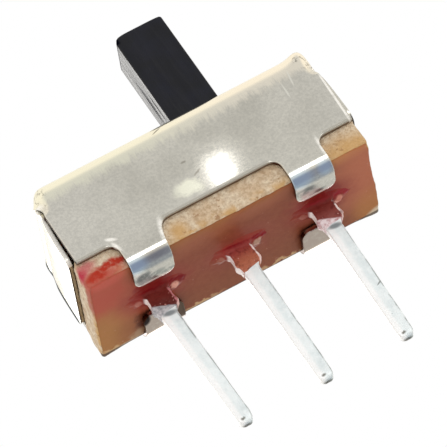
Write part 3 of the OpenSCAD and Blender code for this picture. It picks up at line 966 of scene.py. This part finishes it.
@dataclass
class Shell:
    """The folded steel shell: top with slot, drawn corners, hanging walls and flaps, crimped feet."""

    length: float = 8.5
    width: float = 3.7
    top: float = 3.8
    sheet: float = 0.13
    bend: float = 0.4
    bend_drop: float = 0.62
    corner_z: float = 3.05
    slit_rise: float = 0.1
    unroll: float = 0.35
    wall_z: float = 0.97
    flap_z: float = 1.2
    wall_half: float = 4.215
    flap_half: float = 1.6
    flap_corner: float = 0.3
    flap_taper: float = 0.045
    taper_drop: float = 1.2
    flare: float = 0.125
    flare_drop: float = 0.45
    flare_start: float = 0.04
    slot_half: tuple = (1.95, 0.685)
    ears: tuple = (((4.1, -1.68, 3.62), (0.3, 0.3, 0.3), (0.05, -0.1, 0.11)),
                   ((-4.25, -1.6, 3.2), (0.3, 0.22, 0.17), (-0.1, 0.0, 0.0)),
                   ((-4.2, 1.62, 3.55), (0.3, 0.25, 0.25), (-0.05, 0.0, 0.03)),
                   ((-1.65, -1.85, 0.8), (0.33, 0.3, 0.33), (0.15, 0.0, 0.0)),
                   ((-2.47, 1.35, 0.05), (0.8, 0.7, 0.4), (0.11, -0.1, 0.0)))
    foot_x: float = FOOT_X[1]
    foot_half: float = 0.6
    reaches: tuple = (1.0, 1.17)
    foot_corner: float = 0.25
    foot_root: float = 0.3
    foot_bend: float = 0.42
    play: float = 0.002
    edge: float = 0.055

    def path_columns(self) -> tuple[np.ndarray, np.ndarray]:
        """Works out the column lines along a long wall, from its middle to its flat end.

        Returns:
            The lines, and which of them cross a foot's root.
        """
        root = self.foot_half + self.foot_root
        start, end, flat = self.foot_x - root, self.foot_x + root, self.length / 2 - self.bend
        shares = np.sort(np.append(np.linspace(0, 1, 25), (self.slot_half[0] - start) / (2 * root)))
        foot = start + 2 * root * shares
        columns = np.concatenate([np.linspace(0, start, 15)[:-1], foot, np.linspace(end, flat, 5)[1:]])
        is_foot = (columns >= start - CLOSE) & (columns <= end + CLOSE)
        return columns, is_foot

    @property
    def flat(self) -> tuple[float, float]:
        """Half of the top's flat part along x and y, which the bend's radius leaves."""
        return self.length / 2 - self.bend, self.width / 2 - self.bend

    @property
    def slit(self) -> tuple[float, float]:
        """The angles round the corner's column between which it is slit, from the wall to the flap."""
        flat_x, flat_y = self.flat
        return (self.wall_half - flat_x) / self.bend, math.pi / 2 - (self.flap_half - flat_y) / self.bend

    def crown(self, x: np.ndarray, y: np.ndarray, phi: np.ndarray) -> list[np.ndarray]:
        """Builds the top round its slot, and the walls and the corner's column down to the slit.

        The top's edge turns down on a quarter of a slightly tall oval, and its corner is the eighth of
        an egg over a quarter of a column. The slit's end is cut into the column as half a sine wave.

        Args:
            x: The long wall's column lines.
            y: The flap's column lines.
            phi: The angles of the column's lines.

        Returns:
            The grids.
        """
        (flat_x, flat_y), (start, end), r = self.flat, self.slit, self.bend
        low_z = self.top - self.bend_drop
        theta = np.linspace(0.0, math.pi / 2, 11)[:, None]
        bend_z, out = low_z + self.bend_drop * np.cos(theta), r * np.sin(theta)
        beside = np.abs(y) >= self.slot_half[1] - CLOSE
        across = np.abs(y) <= self.slot_half[1] + CLOSE
        past = x >= self.slot_half[0] - CLOSE
        step = np.linspace(0.0, 1.0, 8)[:, None]
        wall_z = low_z + (self.corner_z - low_z) * step
        share = np.clip((phi - start) / (end - start), 0.0, 1.0)
        low = self.corner_z + self.slit_rise * np.sin(math.pi * share)
        return [stack(x, y[beside][:, None], self.top),
                stack(x[past], y[across][:, None], self.top),
                stack(x, -flat_y - out, bend_z),
                stack(flat_x + out, y, bend_z),
                stack(flat_x + out * np.sin(phi), -flat_y - out * np.cos(phi), bend_z),
                stack(x, -self.width / 2, wall_z),
                stack(self.length / 2, y, wall_z),
                stack(flat_x + r * np.sin(phi), -flat_y - r * np.cos(phi), low_z + (low - low_z) * step)]

    def wall(self, x: np.ndarray, phi: np.ndarray) -> list[np.ndarray]:
        """Builds the hanging wall, and its end that unrolls from the column's first part.

        A point at an angle on the column moves to its radius times that angle along the flat sheet.

        Args:
            x: The wall's column lines.
            phi: The angles of the column's lines.

        Returns:
            The grids.
        """
        (flat_x, flat_y), r = self.flat, self.bend
        z = lines(self.corner_z, self.corner_z - self.unroll, self.wall_z, steps=(12, 14))[:, None]
        flatten = smooth((self.corner_z - z) / self.unroll)
        arc = phi[phi <= self.slit[0] + CLOSE]
        wall_x = (1 - flatten) * (flat_x + r * np.sin(arc)) + flatten * (flat_x + r * arc)
        wall_y = (1 - flatten) * (-flat_y - r * np.cos(arc)) + flatten * (-self.width / 2)
        return [stack(x, -self.width / 2, z), stack(wall_x, wall_y, z)]

    def flap(self, y: np.ndarray, phi: np.ndarray) -> list[np.ndarray]:
        """Builds the leaning flap, which unrolls from the column's last part, with rounded lower corners.

        It narrows downwards, and leans out by the flare times 1 - exp(-drop / flare_drop), which
        starts softly at the slit.

        Args:
            y: The flap's column lines.
            phi: The angles of the column's lines.

        Returns:
            The grids.
        """
        (flat_x, flat_y), r = self.flat, self.bend
        turn = np.linspace(0.0, math.pi / 2, 7)[1:]
        stops = (self.corner_z, self.corner_z - self.unroll, self.flap_z + self.flap_corner)
        straight = lines(*stops, steps=(12, 10))
        z = np.concatenate([straight, self.flap_z + self.flap_corner * (1 - np.sin(turn))])[:, None]
        rounded = 1 - self.flap_corner * (1 - np.cos(turn)) / self.flap_half
        narrow = np.concatenate([np.ones_like(straight), rounded])[:, None]
        drop = self.corner_z - z
        narrow = narrow * (1.0 - self.flap_taper * smooth(drop / self.taper_drop))
        flatten = smooth(drop / self.unroll)
        lean = self.flare * (1.0 - np.exp(-drop / self.flare_drop)) * drop / (drop + self.flare_start)
        arc = math.pi / 2 - phi[phi >= self.slit[1] - CLOSE]
        flap_x = (1 - flatten) * (flat_x + r * np.cos(arc)) + flatten * (self.length / 2)
        flap_y = (1 - flatten) * (-flat_y - r * np.sin(arc)) + flatten * (-flat_y - r * arc)
        return [stack(self.length / 2 + lean, y * narrow, z), stack(flap_x + lean, flap_y * narrow, z)]

    def quarter(self, reach: float) -> list[np.ndarray]:
        """Builds the outer surface of the quarter at +X, -Y.

        Args:
            reach: How far the foot goes under the board.

        Returns:
            Its grids.
        """
        x, is_foot = self.path_columns()
        y = -lines(0.0, self.slot_half[1], self.flat[1], steps=(6, 8))
        phi = lines(0.0, *self.slit, math.pi / 2, steps=(8, 6, 4))
        return [*self.crown(x, y, phi), *self.wall(x, phi), *self.flap(y, phi), self.foot(x[is_foot], reach)]

    def foot(self, columns: np.ndarray, reach: float) -> np.ndarray:
        """Builds one foot as a strip, with the wall's column lines.

        Its half-width falls along the root fillet, and its path goes down, round the board's edge and
        back under it.

        Args:
            columns: The wall's column lines across the foot's root.
            reach: How far it goes under the board, from the wall's outside.

        Returns:
            The grid.
        """
        across = (columns - self.foot_x) / (self.foot_half + self.foot_root)
        turn = np.linspace(0.0, math.pi / 2, 9)
        wall_y, bend, corner = -self.width / 2, self.foot_bend, turn[1:]
        hang = np.linspace(self.wall_z - self.foot_root, bend, 8)[1:]
        under = np.linspace(wall_y + bend, wall_y + reach - self.foot_corner, 6)[1:]
        # Root fillet, straight fall, bend round the board's edge, flat sole, and rounded end.
        y = (np.full_like(turn, wall_y), np.full_like(hang, wall_y), wall_y + bend - bend * np.cos(corner),
             under, wall_y + reach - self.foot_corner * (1 - np.sin(corner)))
        z = (self.wall_z - self.foot_root * (1 - np.cos(turn)), hang, bend - bend * np.sin(corner),
             np.zeros_like(under), np.zeros_like(corner))
        even = np.full(len(hang) + len(corner) + len(under), self.foot_half)
        half = (self.foot_half + self.foot_root * (1 - np.sin(turn)), even,
                self.foot_half - self.foot_corner * (1 - np.cos(corner)))
        y, z, half = (np.concatenate(parts)[:, None] for parts in (y, z, half))
        return stack(self.foot_x + half * across, y, z)

    def pinch(self, points: np.ndarray) -> np.ndarray:
        """Pushes points near the corners, where the drawn sheet gathers into ears, and at a foot bent askew.

        Each ear moves a point by its push times a bell curve of the distance from the ear's middle,
        and no point passes the shell's width.

        Args:
            points: The points.

        Returns:
            The moved points.
        """
        moved = points.copy()
        for middle, reach, push in self.ears:
            far = (((points - np.array(middle)) / np.array(reach)) ** 2).sum(axis=-1)
            moved += np.exp(-far)[..., None] * np.array(push)
        limit = np.maximum(np.abs(points[..., 1]), self.width / 2 - self.play)
        moved[..., 1] = np.clip(moved[..., 1], -limit, limit)
        return moved

    def build(self, finish: Finish) -> None:
        """Mirrors the quarter into the whole shell, gives it its thickness and breaks its edges.

        Args:
            finish: The shell's finish.
        """
        surface = Surface()
        for sign_x in (1.0, -1.0):
            for sign_y, reach in zip((1.0, -1.0), self.reaches):
                for points in self.quarter(reach):
                    placed = self.pinch(points * np.array([sign_x, sign_y, 1.0]))
                    surface.grid(placed, away_from=(0.0, 0.0, 2.0))
        piece = surface.build("steel_shell", closed=False, sharp=60.0)
        thicken(piece, self.sheet)
        soften(piece, self.edge)
        dress(piece, finish, Body.BASE, "shell")


# ---------------------------------------------------------------- the base board


@dataclass
class BaseBoard:
    """The punched board: a block with broken lower edges and rough sheared sides."""

    half: tuple = (BOARD_LENGTH / 2, 1.705, 0.5)
    middle_z: float = 0.7
    grain_depth: float = 0.035
    rim: float = 0.24
    cell: float = 0.06
    bursts: tuple = ((-4.3, 0.5), (4.2, 0.4))
    burst_reach: float = 0.13

    def edge_radius(self, points: np.ndarray) -> np.ndarray:
        """Works out the edge radius: small, and larger where the punch tore the lower front edge.

        Args:
            points: Points on the sharp-edged block, measured from its middle.

        Returns:
            The radius at each point.
        """
        x, y, z = points[..., 0], points[..., 1], points[..., 2]
        tear = smooth((x + 1.9) / 2.4) * smooth((2.3 - x) / 0.6)
        noise = lattice_noise(points * np.array([1.0, 0.0, 0.0]), 0.3, 5)
        radius = 0.06 + np.where((z < 0) & (y < 0), 0.17 * tear * (1 + 0.3 * noise), 0.0)
        left = 0.08 * smooth((-3.6 - x) / 0.4) * smooth(-z / 0.1)
        corner = 0.14 * smooth((np.abs(x) - 3.6) / 0.4) * smooth((-1.2 - y) / 0.3)
        back = 0.05 + 0.05 * smooth((x - 3.6) / 0.3) * smooth((y - 1.2) / 0.3)
        radius = np.maximum(np.maximum(radius, left), np.maximum(corner, back))
        return radius + 0.012 * lattice_noise(points * np.array([1.0, 1.0, 0.0]), 0.5, 9)

    def side(self, axis: int, sign: float) -> tuple[np.ndarray, np.ndarray]:
        """Builds one side of the block.

        A point of the sharp block moves to the nearest point of a smaller core block, and out again
        by the edge radius, so edges and corners become round. Sheared sides then sink by noise.

        Args:
            axis: The axis that the side faces along.
            sign: Its direction.

        Returns:
            The grid and, for each point, how much of it is sheared.
        """
        rulings = []
        for size in (self.half[other] for other in range(3) if other != axis):
            inner = size - self.rim
            count = max(4, int(2 * inner / self.cell))
            rulings.append(lines(-size, -size + self.rim, inner, size, steps=(6, count, 6)))
        first, second = np.meshgrid(*rulings, indexing="ij")
        parts = [first, second]
        parts.insert(axis, np.full_like(first, sign * self.half[axis]))
        sharp = np.stack(parts, axis=-1)
        radius = self.edge_radius(sharp)[..., None]
        core = np.clip(sharp, -(np.array(self.half) - radius), np.array(self.half) - radius)
        out = sharp - core
        out /= np.linalg.norm(out, axis=-1, keepdims=True)
        points = core + radius * out
        level = np.abs(out[..., 2])
        sheared = 1.0 - smooth((level - 0.75) / 0.2)
        rough = 0.5 + 0.35 * lattice_noise(points, 0.22, 1) + 0.15 * lattice_noise(points, 0.09, 2)
        sink = self.grain_depth * rough * sheared
        points = self.break_out(points - out * np.array([1.0, 1.0, 0.3]) * sink[..., None])
        return points + np.array([0.0, 0.0, self.middle_z]), sheared

    def break_out(self, points: np.ndarray) -> np.ndarray:
        """Flares the board low down, where the punch broke out of its ends and back corners.

        Args:
            points: Points on the board, measured from its middle.

        Returns:
            The moved points.
        """
        low = smooth((0.45 - points[..., 2]) / 0.5)
        points[..., 0] -= (0.035 + 0.035 * low) * smooth((-3.4 - points[..., 0]) / 0.7)
        swell = 0.02 + 0.1 * low * smooth((points[..., 1] + 0.9) / 2.0)
        points[..., 0] += swell * smooth((points[..., 0] - 3.2) / 0.9)
        burst = sum(np.exp(-(((points[..., 0] - x) / reach) ** 2)) for x, reach in self.bursts)
        points[..., 1] += self.burst_reach * low * burst * smooth((points[..., 1] - 0.7) / 1.0)
        return points

    def build(self, finish: Finish) -> None:
        """Welds the six sides into one block.

        Args:
            finish: The board's finish.
        """
        surface = Surface()
        for axis in range(3):
            for sign in (-1.0, 1.0):
                points, sheared = self.side(axis, sign)
                surface.grid(points, {"cut": sheared})
        dress(surface.build("punched_board", sharp=80.0), finish, Body.BASE, "base_board")


# ---------------------------------------------------------------- terminals and their seals


@dataclass
class Terminal:
    """One terminal: contact blade, stem, neck and solder pin, swept along its height."""

    x: float
    name: str
    strip_half: float = 0.15
    aside: float = 0.05
    lean: float = 0.1
    lean_z: float = -0.55
    lean_drop: float = 3.89
    neck_half: float = 0.33
    corner: float = 0.05
    heights: tuple = (2.6, 2.52, 2.4, 1.2, 1.2, 0.2, 0.2, -0.22,
                      -0.36, -0.42, -0.47, -0.62, -4.44, -4.6, -4.7, -4.74)
    halves: tuple = (0.6, 0.72, 0.75, 0.75, 0.575, 0.575, neck_half, 0.325,
                     0.365, 0.375, 0.32, 0.24, 0.235, 0.215, 0.165, 0.118)
    thin: tuple = (strip_half,) * 13 + (0.14, 0.11, 0.075)
    ear_heights: tuple = (0.3, 0.3, 0.19, 0.175, 0.17, 0.17)
    ear_scales: tuple = (0.0, 1.0, 1.0, 0.8, 0.5, 0.0)
    ear_half: tuple = (0.08, 0.13)
    ear_x: tuple = (0.06 - 0.56, 0.06 + 0.56)

    def half_width(self, z: np.ndarray) -> np.ndarray:
        """Works out half of the neck's or the pin's width.

        Args:
            z: Heights below the board.

        Returns:
            Half of the width at each height.
        """
        low = slice(6, None)
        return np.interp(-z, -np.array(self.heights[low]), self.halves[low])

    def shift(self, z: np.ndarray) -> np.ndarray:
        """Works out how far the neck stands aside, and the pin has leaned towards the middle one.

        Args:
            z: Heights.

        Returns:
            The shift along x at each height.
        """
        aside = self.aside * smooth((0.2 - z) / 0.1) * smooth((z + 0.66) / 0.2)
        return aside - np.sign(self.x) * self.lean * np.clip((self.lean_z - z) / self.lean_drop, 0.0, 1.0)

    def rows(self) -> tuple[np.ndarray, np.ndarray, np.ndarray]:
        """Spaces rows along the terminal, about every tenth of a millimetre.

        Returns:
            Their heights, half-widths and half-thicknesses.
        """
        parts = []
        for a, b in zip(self.heights, self.heights[1:]):
            count = max(1, int(round((a - b) / 0.1)))
            parts.append(np.linspace(0.0, 1.0, count + 1)[:-1])
        place = np.concatenate([i + p for i, p in enumerate(parts)] + [np.array([float(len(parts))])])
        base = np.arange(len(self.heights))
        return tuple(np.interp(place, base, v) for v in (self.heights, self.halves, self.thin))

    def build(self, finish: Finish) -> None:
        """Sweeps a rounded rectangle down the terminal, closes both ends and adds the two upset ears.

        Args:
            finish: The terminal's finish.
        """
        z, half, thin = self.rows()
        outline = ring(half, thin, np.full(len(z), self.corner))
        points = stack(outline[..., 0], outline[..., 1], z[:, None])
        wear = lattice_noise(points + self.x, 0.3, 21) * 0.006
        wear = wear + lattice_noise(points + self.x, 0.12, 22) * 0.003
        inward = np.stack([outline[..., 0], outline[..., 1], np.zeros_like(wear)], axis=-1)
        inward /= np.linalg.norm(inward, axis=-1, keepdims=True)
        below = (points[..., 2] < 0.1)[..., None]
        points -= inward * (0.009 + wear)[..., None] * below
        points[..., 0] += self.x + self.shift(z)[:, None]
        middle = np.broadcast_to(points.mean(axis=1, keepdims=True), points.shape)
        surface = Surface()
        surface.grid(np.concatenate([middle[:1], points, middle[-1:]]))
        scale, height = np.array(self.ear_scales), np.array(self.ear_heights)[:, None]
        ear = ring(*(size * scale + 1e-3 for size in (*self.ear_half, self.corner)))
        ear = ear * (scale > 0)[:, None, None]
        for x in self.ear_x:
            surface.grid(stack(ear[..., 0] + self.x + x, ear[..., 1], height))
        piece = surface.build(f"plated_terminal_{self.name}", sharp=50.0)
        dress(piece, finish, Body.BASE, f"terminal_{self.name}")


@dataclass
class Seal:
    """The lacquer round one terminal: a pool on the board that climbs the neck as a thin film."""

    terminal: Terminal
    pool_half: tuple = (0.88, 0.42)
    middle_x: float = 0.06
    film: float = 0.028
    film_z: float = -0.62
    board_z: float = 0.2
    ear_rise: float = 0.1
    shares: tuple = (0.0, 0.0, 0.06, 0.15, 0.27, 0.4, 0.53, 0.66, 0.78, 0.87, 0.94, 0.98, 1.0)
    closing: float = 0.8
    seed: int = 0

    def pool(self, base: np.ndarray, around: np.ndarray) -> tuple[np.ndarray, np.ndarray]:
        """Builds the pool on the board, as rings from a wavy oval inwards to the neck.

        Inwards the pool thickens and swells over the ears. Its outermost ring lies a little inside the board.

        Args:
            base: The neck's outline.
            around: The direction of each of its points, on a circle.

        Returns:
            The grid, and how much of each point is an ear.
        """
        x = self.terminal.x
        reach = 1.0 + 0.17 * lattice_noise(around * 1.3 + x, 0.33, 31 + self.seed)
        outer = around[:, :2] * self.pool_half * reach[:, None] + np.array([self.middle_x, 0.0])
        grown = base * (1.0 + self.film / np.linalg.norm(base, axis=1, keepdims=True))
        share = np.array(self.shares)[:, None]
        flat = outer * (1 - share[..., None]) + grown * share[..., None]
        places = stack(flat[..., 0], flat[..., 1], 0.0)
        thick = 0.012 * smooth(share / 0.3) + 0.02 * smooth(share) + 0.1 * np.power(share, 7.0)
        thick = thick * (1 + 0.35 * lattice_noise(places + x, 0.16, 41 + self.seed))
        size = np.where(flat[..., 0] > 0, 1.0, 0.72)
        ragged = 1.0 + 0.55 * lattice_noise(places + 3.0 * x, 0.09, 71 + self.seed)
        ear_x = (np.abs(flat[..., 0] - self.middle_x) - 0.56) / 0.1
        ear = np.exp(-(ear_x ** 2 + ((flat[..., 1] - 0.1) / 0.13) ** 2) * ragged / size)
        thick = thick + self.ear_rise * ear * size
        thick[0], ear[0] = -0.03, 0.0
        return stack(flat[..., 0], flat[..., 1], self.board_z - thick), ear

    def build(self, finish: Finish) -> None:
        """Builds the lacquer as rings round the neck: the pool, and the film up the neck.

        The film's rings are the neck's own outline, grown by the film, which thins out to nothing
        at its end. The rings then close inside the neck and the board.

        Args:
            finish: The lacquer.
        """
        neck = self.terminal
        base = ring(neck.neck_half, neck.strip_half, neck.corner, turns=6, sides=14)[0]
        angle = np.arctan2(base[:, 1] / 0.5, base[:, 0])
        around = np.stack([np.cos(angle), np.sin(angle), np.zeros_like(angle)], axis=-1)
        unit = base / np.linalg.norm(base, axis=1, keepdims=True)
        pool, ear = self.pool(base, around)
        start = pool[-1, :, 2]
        end = self.film_z + 0.05 * base[:, 0] / neck.neck_half
        end = end + 0.03 * lattice_noise(around + neck.x, 0.4, 51 + self.seed)
        rows = [pool]
        for part in np.linspace(0.0, 1.0, 13)[1:]:
            z = start + (end - start) * part
            grow = 0.008 * lattice_noise(stack(base[:, 0], base[:, 1], z) + neck.x, 0.15, 61)
            grow = grow + self.film * (1.0 - 0.75 * part ** 4)
            wide = neck.half_width(z) / neck.neck_half
            x = base[:, 0] * wide + unit[:, 0] * grow + neck.shift(z)
            rows.append(stack(x, base[:, 1] + unit[:, 1] * grow, z)[None])
        for z in (end, np.full_like(end, self.board_z + 0.03)):
            wide = neck.half_width(z) / neck.neck_half * self.closing
            rows.append(stack(base[:, 0] * wide + neck.shift(z), base[:, 1] * self.closing, z)[None])
        points = np.concatenate([*rows, pool[:1]]) + np.array([neck.x, 0.0, 0.0])
        ears = np.zeros(points.shape[:2])
        ears[:len(ear)] = ear
        surface = Surface()
        surface.grid(points, {"ear": ears})
        piece = surface.build(f"lacquer_seal_{neck.name}", sharp=80.0)
        dress(piece, finish, Body.BASE, f"seal_{neck.name}")


# ---------------------------------------------------------------- the slider and its clip


@dataclass
class Slider:
    """The moulded slider: a tall handle on a grooved carriage."""

    x: float = 1.15
    handle_half: tuple = (0.75, 0.625)
    handle_top: float = 7.66
    lead: float = 0.28
    rear: float = 0.1
    edge: float = 0.05
    carriage_half: tuple = (2.65, 1.57)
    carriage_z: tuple = (1.3, 3.56)
    carriage_round: float = 0.2
    groove: tuple = (0.3, 2.75)
    pocket: tuple = (0.6, 3.07)
    pocket_half: float = 1.62

    def handle(self) -> np.ndarray:
        """Builds the handle as rounded rectangles stacked up its height.

        Near the top each point moves in and up on a quarter circle whose radius depends on the side
        that it lies on: large on the leading side, small on the others.

        Returns:
            The grid, closed at its top and bottom.
        """
        z = lines(self.carriage_z[1] - 0.15, self.handle_top - self.lead, steps=(40,))
        outline = ring(*self.handle_half, self.edge, turns=6, sides=14)[0]
        body = stack(outline[None, :, 0], outline[None, :, 1], z[:, None])
        east = outline[:, 0] / self.handle_half[0]
        lead = np.clip(-east, 0.0, 1.0) ** 6
        back = np.clip(east, 0.0, 1.0) ** 6
        radius = self.edge + (self.lead - self.edge) * lead + (self.rear - self.edge) * back
        turn = np.linspace(0.0, math.pi / 2, 13)[1:, None]
        inward = radius * (1 - np.cos(turn))
        size = np.abs(outline) / np.array(self.handle_half)
        share = np.clip(size, 0.0, 1.0) ** 8
        share /= np.maximum(share.max(axis=1, keepdims=True), CLOSE)
        moved = outline[None] - np.sign(outline)[None] * share[None] * inward[..., None]
        height = self.handle_top - radius + radius * np.sin(turn)
        crown = stack(moved[..., 0], moved[..., 1], height)
        start = self.handle_top - self.lead
        climb = np.linspace(0.0, 1.0, 4)[1:, None]
        rise = start + (self.handle_top - radius - start) * climb
        neck = stack(outline[None, :, 0], outline[None, :, 1], rise)
        shrink = np.array([0.75, 0.5, 0.25, 0.0])[:, None]
        cap = stack(crown[-1, :, 0] * shrink, crown[-1, :, 1] * shrink, self.handle_top)
        foot = stack(outline[None, :, 0] * 0.0, outline[None, :, 1] * 0.0, z[:1, None])
        return np.concatenate([foot, body, neck, crown, cap])

    def hollow(self, width: float, ceiling: float) -> np.ndarray:
        """Draws a groove's outline, with as many points as the carriage's own.

        Args:
            width: Half of its width.
            ceiling: The height of its ceiling.

        Returns:
            Its points y, z.
        """
        low, half_way = self.carriage_z[0], (self.carriage_z[0] + ceiling) / 2
        y = np.concatenate([[-width, -width], np.linspace(-width, width, 12), [width, width]])
        z = np.concatenate([[low, half_way], np.full(12, ceiling), [half_way, low]])
        return np.stack([y, z], axis=-1)

    def carriage(self) -> tuple[np.ndarray, list[np.ndarray]]:
        """Builds the carriage: an arch outline carried along X, with a groove that widens to a pocket.

        Returns:
            The outer-and-inner skin along X, and the two end faces between both outlines.
        """
        z0, z1 = self.carriage_z
        half, r = self.carriage_half[1], self.carriage_round
        turn = np.linspace(0.0, math.pi / 2, 7)
        right_y = np.concatenate([[half], half - r + r * np.cos(turn)])
        right_z = np.concatenate([[z0], z1 - r + r * np.sin(turn)])
        outer = np.stack([np.append(-right_y, right_y[::-1]), np.append(right_z, right_z[::-1])], axis=-1)
        narrow, wide = self.hollow(*self.groove), self.hollow(*self.pocket)
        end, inside = self.carriage_half[0], self.pocket_half
        rows = []
        for place, hollow in ((-end, narrow), (-inside, narrow), (-inside, wide),
                              (inside, wide), (inside, narrow), (end, narrow)):
            loop = np.concatenate([outer, hollow[::-1], outer[:1]])
            rows.append(stack(place, loop[:, 0], loop[:, 1]))
        ends = [np.stack([stack(place, *skin.T) for skin in (outer, narrow)]) for place in (-end, end)]
        return np.stack(rows), ends

    def build(self, finish: Finish) -> None:
        """Joins the handle and the carriage into one piece at the slider's resting place.

        Args:
            finish: The slider's finish.
        """
        surface = Surface()
        shift = np.array([self.x, 0.0, 0.0])
        skin, ends = self.carriage()
        for points in [self.handle(), skin, *ends]:
            surface.grid(points + shift)
        piece = surface.build("moulded_slider", sharp=35.0)
        dress(piece, finish, Body.SLIDER, "slider")


# ---------------------------------------------------------------- the studio


@dataclass
class Studio:
    """A white room with soft lamps, a pale floor that fades out, and the camera below the switch."""

    floor_z: float = -4.76
    azimuth: float = -14.0174
    elevation: float = -31.2915
    roll: float = 35.142
    position: tuple = (-26.398, -106.229, -65.461)
    lens: float = 384.84
    spot_at: tuple = (0.48, -1.85, 1.52)
    glow_at: tuple = (-0.55, -1.85, 1.47)
    spot_way: tuple = (0.207, -0.829, 0.519)
    spot_far: float = 6.0
    even_light: float = 0.86

    def camera(self) -> None:
        """Places the camera and turns it about its own line of sight."""
        a, e, t = (math.radians(v) for v in (self.azimuth, self.elevation, self.roll))
        back = Vector((math.sin(a) * math.cos(e), -math.cos(a) * math.cos(e), math.sin(e)))
        level = Vector((0, 0, 1)).cross(back).normalized()
        upright = back.cross(level)
        right = level * math.cos(t) - upright * math.sin(t)
        up = upright * math.cos(t) + level * math.sin(t)
        lens = bpy.data.cameras.new("view")
        lens.lens, lens.sensor_width, lens.clip_start, lens.clip_end = self.lens, 36.0, 0.002, 10.0
        camera = bpy.data.objects.new("view", lens)
        turned = Matrix((right, up, back)).transposed().to_4x4()
        camera.matrix_world = Matrix.Translation(Vector(self.position) * MM) @ turned
        bpy.context.scene.collection.objects.link(camera)
        bpy.context.scene.camera = camera

    def world(self) -> None:
        """Makes the room: white to the camera, even light on the switch, soft grey areas in reflections."""
        world = bpy.data.worlds.new("white_room")
        bpy.context.scene.world = world
        coat = Coat.start(world)
        way, ray = coat.add(Node.PLACE)["Generated"], coat.add(Node.RAY)
        coat.colour = "#fffaee"
        # Each pale or grey area lies round a direction that a reflected ray can point along.
        for tone, aim, low, high in (("#dfe0dc", (0.0, 0.0, -1.0), -0.1, 0.5),
                                     ("#d9d9d6", (0.2, -0.83, 0.52), 0.78, 0.965),
                                     ("#a6aeb7", (0.2, 0.17, -0.965), 0.66, 0.95),
                                     ("#949aa8", (0.2, -0.43, -0.88), 0.8, 0.97)):
            coat.lay(tone, (coat.add(Node.ALONG, way, aim), low, high))
        even = (self.even_light, self.even_light, self.even_light, 1.0)
        room = coat.between(even, coat.colour, ray["Is Glossy Ray"])
        seen = coat.either(ray["Is Camera Ray"], ray["Is Transmission Ray"])
        coat.add(Node.WORLD, coat.add(Node.BACKGROUND, coat.between(room, "#ffffff", seen), 1.0))

    def lamp(self, name: str, place: Sequence[float], aim: Sequence[float],
             size: float, power: float) -> None:
        """Hangs one square soft lamp.

        Args:
            name: Its name.
            place: Where it hangs.
            aim: The point that it faces.
            size: Its side.
            power: Its power in watts.
        """
        light = bpy.data.lights.new(name, "AREA")
        light.size, light.energy, light.shape = size * MM, power, "SQUARE"
        hung = bpy.data.objects.new(name, light)
        hung.location = Vector(place) * MM
        hung.rotation_mode = "QUATERNION"
        hung.rotation_quaternion = (Vector(aim) - Vector(place)).to_track_quat("-Z", "Y")
        hung.visible_camera = False
        bpy.context.scene.collection.objects.link(hung)

    def floor(self) -> None:
        """Lays a round pale floor that fades into the room and lets light and sight through from below."""
        radius = np.array([0.0, 5.0, 12.0, 30.0, 90.0, 200.0])[:, None]
        angle = np.linspace(0.0, 2 * math.pi, 65)[None, :]
        surface = Surface()
        points = stack(radius * np.cos(angle), radius * np.sin(angle), self.floor_z)
        surface.grid(points, away_from=(0.0, 0.0, -99.0))
        floor = surface.build("pale_floor", closed=False)
        material = bpy.data.materials.new("pale_floor")
        coat = Coat.start(material)
        far = coat.add(Node.LENGTH, coat.add(Node.PLACE)["Object"])
        hidden = coat.either(coat.where((far, 0.02, 0.11)), coat.add(Node.GEOMETRY)["Backfacing"])
        solid, clear = coat.add(Node.DIFFUSE, "#f4f3f0"), coat.add(Node.CLEAR)
        coat.add(Node.MATERIAL, coat.add(Node.EITHER, hidden, solid, clear))
        floor.data.materials.append(material)
        floor.visible_shadow, floor.visible_glossy, floor.visible_transmission = False, False, False

    def build(self) -> None:
        """Sets up the whole studio."""
        bpy.context.scene.view_settings.view_transform = "Standard"
        self.camera()
        self.world()
        self.floor()
        self.lamp("key", (26.0, -125.0, 0.0), (0.0, 0.0, 0.0), 50.0, 0.022)
        self.lamp("rear", (-58.0, 100.0, 62.0), (0.0, 0.0, 0.0), 60.0, 0.042)
        self.lamp("back", (22.0, 126.0, 12.0), (0.0, 0.0, 0.0), 50.0, 0.016)
        for name, aim, size, power in (("spot", self.spot_at, 0.72, 0.0000045),
                                       ("glow", self.glow_at, 0.7, 0.0000003)):
            place = np.array(aim) + self.spot_far * np.array(self.spot_way)
            self.lamp(name, tuple(place), aim, size, power)


def main() -> None:
    """Builds the studio and every piece, in the order in which the switch is put together."""
    logging.basicConfig(level=logging.INFO, format="%(name)s: %(message)s")
    Studio().build()
    Shell().build(TinnedSteel())
    BaseBoard().build(PhenolicPaper())
    plating, lacquer = PlatedBrass(), Lacquer()
    for number, (x, name) in enumerate(zip(TERMINAL_X, TERMINAL_NAMES)):
        terminal = Terminal(x, name)
        terminal.build(plating)
        Seal(terminal, seed=number).build(lacquer)
    Slider().build(MouldedPlastic())
    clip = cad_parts["contact_clip"]
    clip.data.materials.clear()
    clip.data.materials.append(SpringBronze().material())
    LOG.info("contact_clip: %d faces on slider, as built", len(clip.data.polygons))


if __name__ == "__main__":
    main()
